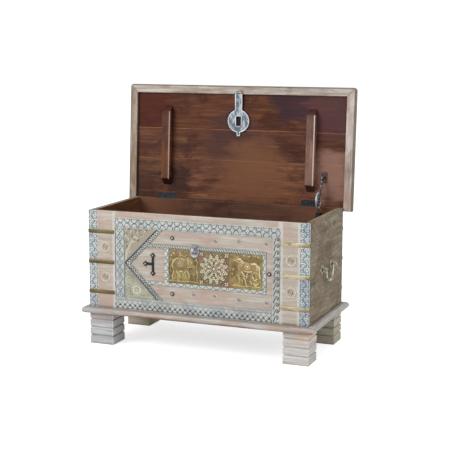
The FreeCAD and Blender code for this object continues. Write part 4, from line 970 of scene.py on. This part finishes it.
# Brass bands, three round each corner: strips with a rounded back, bent round the edge and
# nailed at the front. The left ones are darker, as tarnish and painted shade, and the right
# ones brighter, as rubbing and a painted highlight.
def band_metal(name, seed, dull, bright):
    """Brass strip, tarnished in patches, with painted shade along its edges and over the part bent round onto
    the side wall.
    """
    made = Finish(name, 0.45, 0.3)
    tarnish = made.spots(0.006, (2, 1, 1), seed + 1, 5)
    made.colour(made.mix(made.patches(0.35, 0.65, 0.03, (2, 1, 0.5), seed, 4), dull, bright))
    made.lay((104, 90, 54), made.between(tarnish, 0.5, 0.7), 0.6)
    # Painted shade where the strip meets the wood round it.
    made.lay((84, 72, 42), made.shade_in_corners(0.004), 0.7)
    # Painted shade over the part of the strip that turns onto the side wall.
    made.lay((112, 104, 64), made.between(made.sum("ABSOLUTE", made.along(0)), 0.4152, 0.4162), 0.75)
    made.rough(tarnish, 0.36, 0.6)
    return made


def bent_band(side, face):
    """A strip round one corner; side is -1 or 1 along X and face is -1 for the front."""
    middle_y, half_y = (wall_high.y + front_y) / 2, (wall_high.y - front_y) / 2
    corner, bend, along_front, along_side = 0.415, 0.001, 0.099, 0.038
    line = [(corner - bend - along_front * (1 - share), half_y, 0, 1) for share in np.linspace(0, 1, 14)]
    line += [(corner - bend + bend * math.sin(angle), half_y - bend + bend * math.cos(angle),
              math.sin(angle), math.cos(angle)) for angle in np.radians(np.linspace(0, 90, 6))]
    line += [(corner, half_y - bend - along_side * share, 1, 0) for share in np.linspace(0, 1, 8)]
    section = [(-7, -0.2), (-7, 0.9), (-5.6, 1.5), (-3.2, 2.1), (0, 2.5),
               (3.2, 2.1), (5.6, 1.5), (7, 0.9), (7, -0.2)]
    rings = [[(side * (x + nx * out / 1000), middle_y + face * (y + ny * out / 1000), up / 1000)
              for up, out in section] for x, y, nx, ny in line]
    return bpy.data.objects.new("bent_band", lofted("bent_band", [rings]))


band_low, band_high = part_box("corner_bands")
band_levels = [band_low.z + 0.007, (band_low.z + band_high.z) / 2, band_high.z - 0.007]
nail_dome = dome(3.1)
nail = turned_motif("band_nail", 3, 5, 20, lambda r, angle: 2.2 + 1.4 * nail_dome(r))
# The left brass is painted darker as shade and the right brass lighter as a highlight, over their tarnish and
# rubbing.
for side, name, brass in ((-1, "left", band_metal("tarnished_and_shaded_brass", 45.0, (91, 79, 43), (124, 108, 64))),
                          (1, "right", band_metal("rubbed_and_highlit_brass", 48.0, (158, 142, 104), (210, 198, 163)))):
    for face, face_name in ((-1, "front"), (1, "back")):
        repeat(f"bands_{face_name}_{name}", bent_band(side, face), [(0, 0, z) for z in band_levels],
               brass, "brass", "corner_bands")
    repeat(f"band_nails_{name}", nail, [(side * 0.322, front_y, z) for z in band_levels], brass, "brass")


# Bail handles: cast brass rings hung in eyes, with a petalled plate round each eye. The brass is
# pale where hands rub it and has painted shade, nearly black, in its corners.
def handle_brass(name, roughness, metallic, dull, bright):
    made = metal(name, roughness, metallic, (0.4, 0.58), dull, bright, (0.35, 0.6), 0.0006,
                 size=0.012, seed=47.0, detail=4)
    # Painted shade: the brass darkens nearly to black in its corners, where the light is blocked.
    made.lay((58, 50, 36), made.shade_in_corners(0.006), 0.85)
    return made


def rose_height(r, angle):
    if r > 17.2:
        return 0.3
    return 2.3 + (1.3 * abs(math.cos(4 * angle)) * math.exp(-((r - 12) / 3.6) ** 2)
                  + 0.9 * math.exp(-((r - 6) / 1.5) ** 2))


dress(handle_brass("cast_brass", 0.42, 0.4, (150, 142, 120), (232, 226, 206)),
      "bail_left", "bail_right", "bail_eyes")
eye_low, eye_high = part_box("bail_eyes")
rose_places = [(side, y) for side in (-1, 1) for y in (eye_low.y + 0.015, eye_high.y - 0.015)]
repeat("bail_roses", turned_motif("bail_rose", 17.5, 14, 64, rose_height),
       [(side * wall_high.x, y, (eye_low.z + eye_high.z) / 2) for side, y in rose_places],
       handle_brass("rose_brass", 0.5, 0.3, (104, 98, 80), (206, 202, 188)), "old_brass",
       turns=[(0, 0, side * math.pi / 2) for side, y in rose_places])


# Base moulding and block feet: the same limed wood, with more grey wash left in the grain. The
# moulding is mitred round the case, and each foot is a block with grooves sawn round it. The
# front moulding has painted shade under its roll, along its foot and along its top, and the
# front-left foot painted light on its right side.
for name, grain, warm_share, members in (
        ("front_moulding_wood", 0, 0.6, ("base_moulding_front", "base_moulding_back")),
        ("side_moulding_wood", 1, 0.15, ("base_moulding_left", "base_moulding_right"))):
    strip = wood(name, (grain,), (184, 178, 170), (214, 212, 208), (182, 152, 132), (112, 100, 90),
                 seed=51.0 + grain, pale_share=0.7, warm_share=warm_share, dark_share=0.7,
                 worn=(196, 194, 192))
    if grain == 0:
        height = strip.along(2)
        # Painted shade: the lower part of the front moulding is darker brown under its roll, in patches.
        strip.lay((138, 100, 76), strip.between(height, 0.129, 0.119),
                  strip.patches(0.35, 0.55, 0.04, (5, 1, 1), 77.0), 0.8)
        # Painted shade: a dark line along the foot of the moulding.
        strip.lay((92, 76, 62), strip.between(height, 0.1185, 0.1165), 0.7)
        strip.lay((184, 187, 190), strip.between(strip.along(0), -0.30, -0.42), 0.7)
        # Painted shade: the top of the moulding is greyed where it meets the front wall.
        strip.lay((112, 108, 104), strip.between(height, 0.1335, 0.1362), 0.45)
    dress(strip, *members)

for seed, (name, body, pale, warm, dark, bare_share) in enumerate((
        ("front_left", (182, 181, 181), (218, 218, 219), (200, 176, 158), (116, 114, 116), 0.5),
        ("front_right", (208, 203, 197), (238, 235, 231), (226, 192, 160), (140, 134, 128), 0.75),
        ("back_left", (190, 180, 160), (212, 203, 186), (196, 168, 138), (116, 104, 86), 0.3),
        ("back_right", (188, 182, 163), (218, 212, 196), (192, 168, 142), (110, 104, 86), 0.3)), 54):
    block = wood(f"foot_wood_{name}", (0, 1), body, pale, warm, dark, seed=float(seed), pale_share=0.8,
                 warm_share=0.25, dark_share=0.7, worn=pale, corner_shade=0.45)
    block.lay(warm, block.between(block.along(2), 0.072, 0.1),
              block.patches(0.42, 0.58, 0.03, (4, 1, 1), seed + 5.0), bare_share)
    # Painted light: the front-left foot's right side face is lightened against the shade it stands in.
    if name == "front_left":
        foot_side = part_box("foot_front_left")[1].x
        block.lay((250, 248, 244), block.between(block.along(0), foot_side - 0.002, foot_side - 0.001), 0.6)
    dress(block, f"foot_{name}")


# Lid frame: weathered pale rails round the panel, mitred at the front corners. They have painted
# shade along their outer edges, the left one a painted shadow line along its inner edge, and the
# front one is rubbed bare beside the hasp.
for seed, (name, tones, axis, side) in enumerate((
        ("front", ((178, 164, 152), (212, 204, 196), (156, 124, 102), (104, 88, 76)), 2, 1),
        ("right", ((194, 178, 168), (224, 214, 208), (172, 138, 118), (114, 98, 88)), 0, 1),
        ("left", ((156, 138, 122), (190, 178, 162), (134, 100, 76), (92, 74, 60)), 0, -1)), 61):
    rail = wood(f"lid_{name}_rail_wood", (2 - axis,), *tones, seed=float(seed), pale_share=0.85,
                warm_share=0.6, dark_share=0.85, worn=(116, 104, 90))
    rail_low, rail_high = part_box(f"lid_frame_{name}")
    rim = (rail_high if side > 0 else rail_low)[axis]
    # Painted shade along the rail's outer, rounded edge.
    rail.lay((98, 92, 72), rail.between(rail.along(axis), rim - side * 0.006, rim - side * 0.003), 0.75)
    # Painted shadow: a dark line along the left rail's inner edge, where the panel is sunk below it.
    if name == "left":
        rail.lay((58, 40, 28), rail.between(rail.along(0), rail_high.x - 0.0035, rail_high.x - 0.0015), 0.8)
    if name == "front":
        rail.lay((168, 110, 82), rail.between(rail.away((0.010, 0.207, 0.9)), 0.013, 0.006), 0.7)
    dress(rail, f"lid_frame_{name}")


# Panel of the lid: four stained boards and a hinge rail, lacquered, with old dark stains near
# the corners, a painted shadow behind the hasp's slot, and thin bright lines where the boards
# meet. Two battens stiffen it, each with a painted highlight along its front right edge.
stains_and_slot_shadow = (((-0.37, 0.2, 0.86), 0.15, (74, 26, 14)), ((0.35, 0.2, 0.86), 0.17, (86, 56, 58)),
          ((0.20, 0.2, 0.875), 0.10, (58, 38, 46)), ((-0.39, 0.2, 0.54), 0.13, (58, 34, 26)),
          ((-0.02, 0.2, 0.71), 0.15, (78, 50, 46)), ((0.385, 0.2, 0.60), 0.13, (154, 116, 102)),
          ((-0.24, 0.2, 0.56), 0.09, (48, 30, 26)), ((0.05, 0.2, 0.60), 0.16, (128, 84, 58)),
          # Painted shadow: a dark patch on the board behind the hasp's slot.
          ((0, 0.209, 0.790), 0.02, (28, 18, 14)))
lid_lean = math.tan(math.radians(3.6))


def panel_wood(name, tones, seed, grain, lines, gloss):
    """Lacquered wood of the lid, with the panel's stains and the painted shadow behind the hasp's slot; lines
    is the strength of its bright edges.
    """
    made = wood(name, (grain,), *tones, seed=seed, pale_share=0.8, warm_share=0.8, dark_share=0.8,
                roughness=0.45)
    made.inputs["Specular IOR Level"].default_value = 0.12
    made.inputs["Coat Weight"].default_value = gloss
    made.inputs["Coat Roughness"].default_value = 0.22
    cloud = made.times(made.sum("SUBTRACT", made.spots(0.05, (2.5, 1, 1), seed + 20, 5, 0.65), 0.5), 0.22)
    for place, reach, stain_and_shade in stains_and_slot_shadow:
        spread = made.sum("ADD", made.away(place), cloud)
        made.lay(stain_and_shade, made.between(spread, reach, reach * 0.35), 0.8)
    if lines:
        made.lay((190, 124, 84), made.edges(0.0032),
                 made.patches(0.35, 0.5, 0.05, (2, 1, 1), seed + 41), lines)
    return made


def lid_board(name, tones, seed, lines):
    """A board that shows limed and weathered on the outside of the lid."""
    made = panel_wood(name, tones, seed, 0, lines, 0.03)
    outward = made.sum("SUBTRACT", made.along(1), made.times(made.along(2), lid_lean))
    limed = made.mix(made.patches(0.4, 0.66, 0.012, (14, 1, 1), seed + 50, 6, 0.62),
                     (168, 152, 138), (208, 200, 190))
    limed = made.mix(made.patches(0.4, 0.8, 0.07, (3, 1, 1), seed + 52, 6, 0.6), limed, (166, 134, 112))
    limed = made.mix(made.times(made.edges(0.003), 0.6), limed, (112, 98, 84))
    made.lay(limed, made.between(outward, 0.1705, 0.1725))
    return made


board_tones = (((116, 74, 52), (152, 102, 74), (86, 44, 34), (52, 32, 24)),
               ((118, 76, 54), (156, 106, 76), (88, 48, 36), (54, 34, 26)),
               ((96, 58, 42), (130, 84, 60), (72, 38, 30), (44, 28, 22)),
               ((90, 50, 31), (124, 76, 48), (66, 30, 21), (42, 23, 17)))
for number, (tones, lines) in enumerate(zip(board_tones, (0.15, 0.2, 0.9, 0.8)), 1):
    dress(lid_board(f"lid_board_wood_{number}", tones, 70.0 + 3 * number, lines), f"lid_board_{number}")
dress(lid_board("hinge_rail_wood", board_tones[0], 83.0, 0.8), "lid_frame_back")
for name, seed, tones, ridge_highlight in (
        ("left", 86.0, ((114, 64, 34), (144, 84, 45), (78, 43, 37), (46, 26, 20)), (202, 178, 168)),
        ("right", 88.0, ((128, 94, 80), (162, 126, 106), (112, 72, 50), (54, 32, 24)), (236, 214, 202))):
    strip = panel_wood(f"batten_wood_{name}", tones, seed, 2, 0, 0.3)
    low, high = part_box(f"batten_{name}")
    height = strip.along(2)
    strip.lay((64, 22, 12), strip.sum("MAXIMUM", strip.between(height, low.z + 0.032, low.z + 0.022),
                                      strip.between(height, high.z - 0.026, high.z - 0.016)), 0.8)
    back_plane = strip.sum("MULTIPLY_ADD", height, lid_lean, low.y - lid_lean * low.z)
    face = strip.sum("SUBTRACT", strip.along(1), back_plane)
    # Painted highlight: a bright line along the batten's front right edge.
    strip.lay(ridge_highlight, strip.between(strip.along(0), high.x - 0.0040, high.x - 0.0022),
              strip.between(face, 0.0042, 0.0022), strip.patches(0.2, 0.45, 0.03, (1, 1, 3), seed + 60), 0.9)
    dress(strip, f"batten_{name}")


# Hasp: a bright iron plate, a disc on a stem with a slot for the staple. A raised rim runs round
# its edge and round the slot, and it hangs on a wire eye.
plate_iron = metal("plate_iron", 0.4, 0.5, (0.4, 0.62), (96, 109, 122), (182, 189, 193), (0.3, 0.55),
                   size=0.01, stretch=(1, 1, 2), seed=92.0, detail=5)
plate_iron.lay((92, 100, 110), plate_iron.patches(0.56, 0.7, 0.003, seed=93.0, detail=4), 0.7)
dress(plate_iron, "hasp", "hasp_eye")
rim_iron = metal("pale_iron", 0.4, 0.45, (0.35, 0.65), (186, 192, 200), (226, 226, 226), (0.3, 0.55),
                 size=0.008, seed=90.0, detail=5)

pivot = next(joint["pos_m"] for joint in frame["joints"] if joint["name"] == "hasp_swing")
lean = Matrix.Translation(pivot) @ Matrix.Rotation(math.radians(-0.75), 4, "X")
disc, disc_radius, half_stem, half_tab, tip, rim_lift = 106.3, 40.7, 12.2, 5.2, 162.3, 1.3
arc = [(disc_radius * math.sin(angle), disc_radius * math.cos(angle) - disc) for angle in
       np.linspace(math.asin(half_stem / disc_radius), math.pi - math.asin(half_tab / disc_radius), 34)]
outline = [(half_stem, -5.5), (half_stem, -60), *arc, (half_tab, 6 - tip), (half_tab, 1.8 - tip),
           (-half_tab, 1.8 - tip), (-half_tab, 6 - tip), *((-x, z) for x, z in arc[::-1]),
           (-half_stem, -60), (-half_stem, -5.5)]
slot_rim = [(x, z - disc) for x, z in oblong(-11.6, 11.6, -19.6, 19.6)]
for name, line, width in (("hasp_rim", outline, 2.2), ("hasp_slot_rim", slot_rim, 2.0)):
    section = [(width * math.cos(turn), rim_lift * math.sin(turn)) for turn in np.linspace(0, math.pi, 7)]
    rings = []
    for number, (x, z) in enumerate(line):
        run = (Vector(line[(number + 1) % len(line)]) - Vector(line[number - 1])).normalized()
        rings.append([(x + run.y * off, -lift, z - run.x * off) for off, lift in section])
    bead = lofted(name, [rings], loop=True)
    soften(bead, 70)
    bead.transform(lean @ Matrix.Translation((0, 0.0015, 0)) @ Matrix.Diagonal((0.001, 0.001, 0.001, 1)))
    bead.materials.append(rim_iron.material)
    fit(name, bead, "pale_iron", "hasp")


# Lid stay: two blackened arms that fold at an elbow between a bracket in the case and one on the
# lid. A bright ring lies round the elbow's disc, and a small one round its pin, their brightness a
# painted highlight on the disc's rim.
worn_iron = metal("worn_iron", 0.4, 0.5, (0.49, 0.63), (44, 49, 53), (168, 172, 174),
                  size=0.009, stretch=(1, 1, 0.6), seed=96.0, detail=5)
dress(worn_iron, "stay_upper_arm", "stay_lower_arm")
dress(metal("stained_iron", 0.5, 0.2, (0.42, 0.62), (62, 48, 44), (104, 78, 70),
            size=0.01, stretch=(2, 1, 1), seed=97.0, detail=5), "stay_upper_bracket")
bright_iron = metal("bright_iron", 0.3, 0.3, (0.4, 0.7), (184, 190, 196), (236, 236, 236),
                    size=0.006, seed=95.0, detail=4)
arm_low, arm_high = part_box("stay_lower_arm")
elbow = Vector(((arm_low.x + arm_high.x) / 2, arm_high.y - 0.028, arm_high.z - 0.028))
hoops = []
# Painted highlight: the rings are bright where the elbow's disc and pin catch the light.
for radius, wire in ((0.0272, 0.0031), (0.0125, 0.0022)):
    section = [(wire * math.sin(turn), radius + wire * math.cos(turn)) for turn in full_turn(8)]
    hoops.append([[(elbow.x + off, elbow.y + reach * math.cos(angle), elbow.z + reach * math.sin(angle))
                   for off, reach in section] for angle in full_turn(64)])
stay_ring = lofted("stay_ring", hoops, loop=True)
stay_ring.shade_smooth()
stay_ring.materials.append(bright_iron.material)
fit("stay_ring", stay_ring, "pale_iron", "stay_lower_arm")
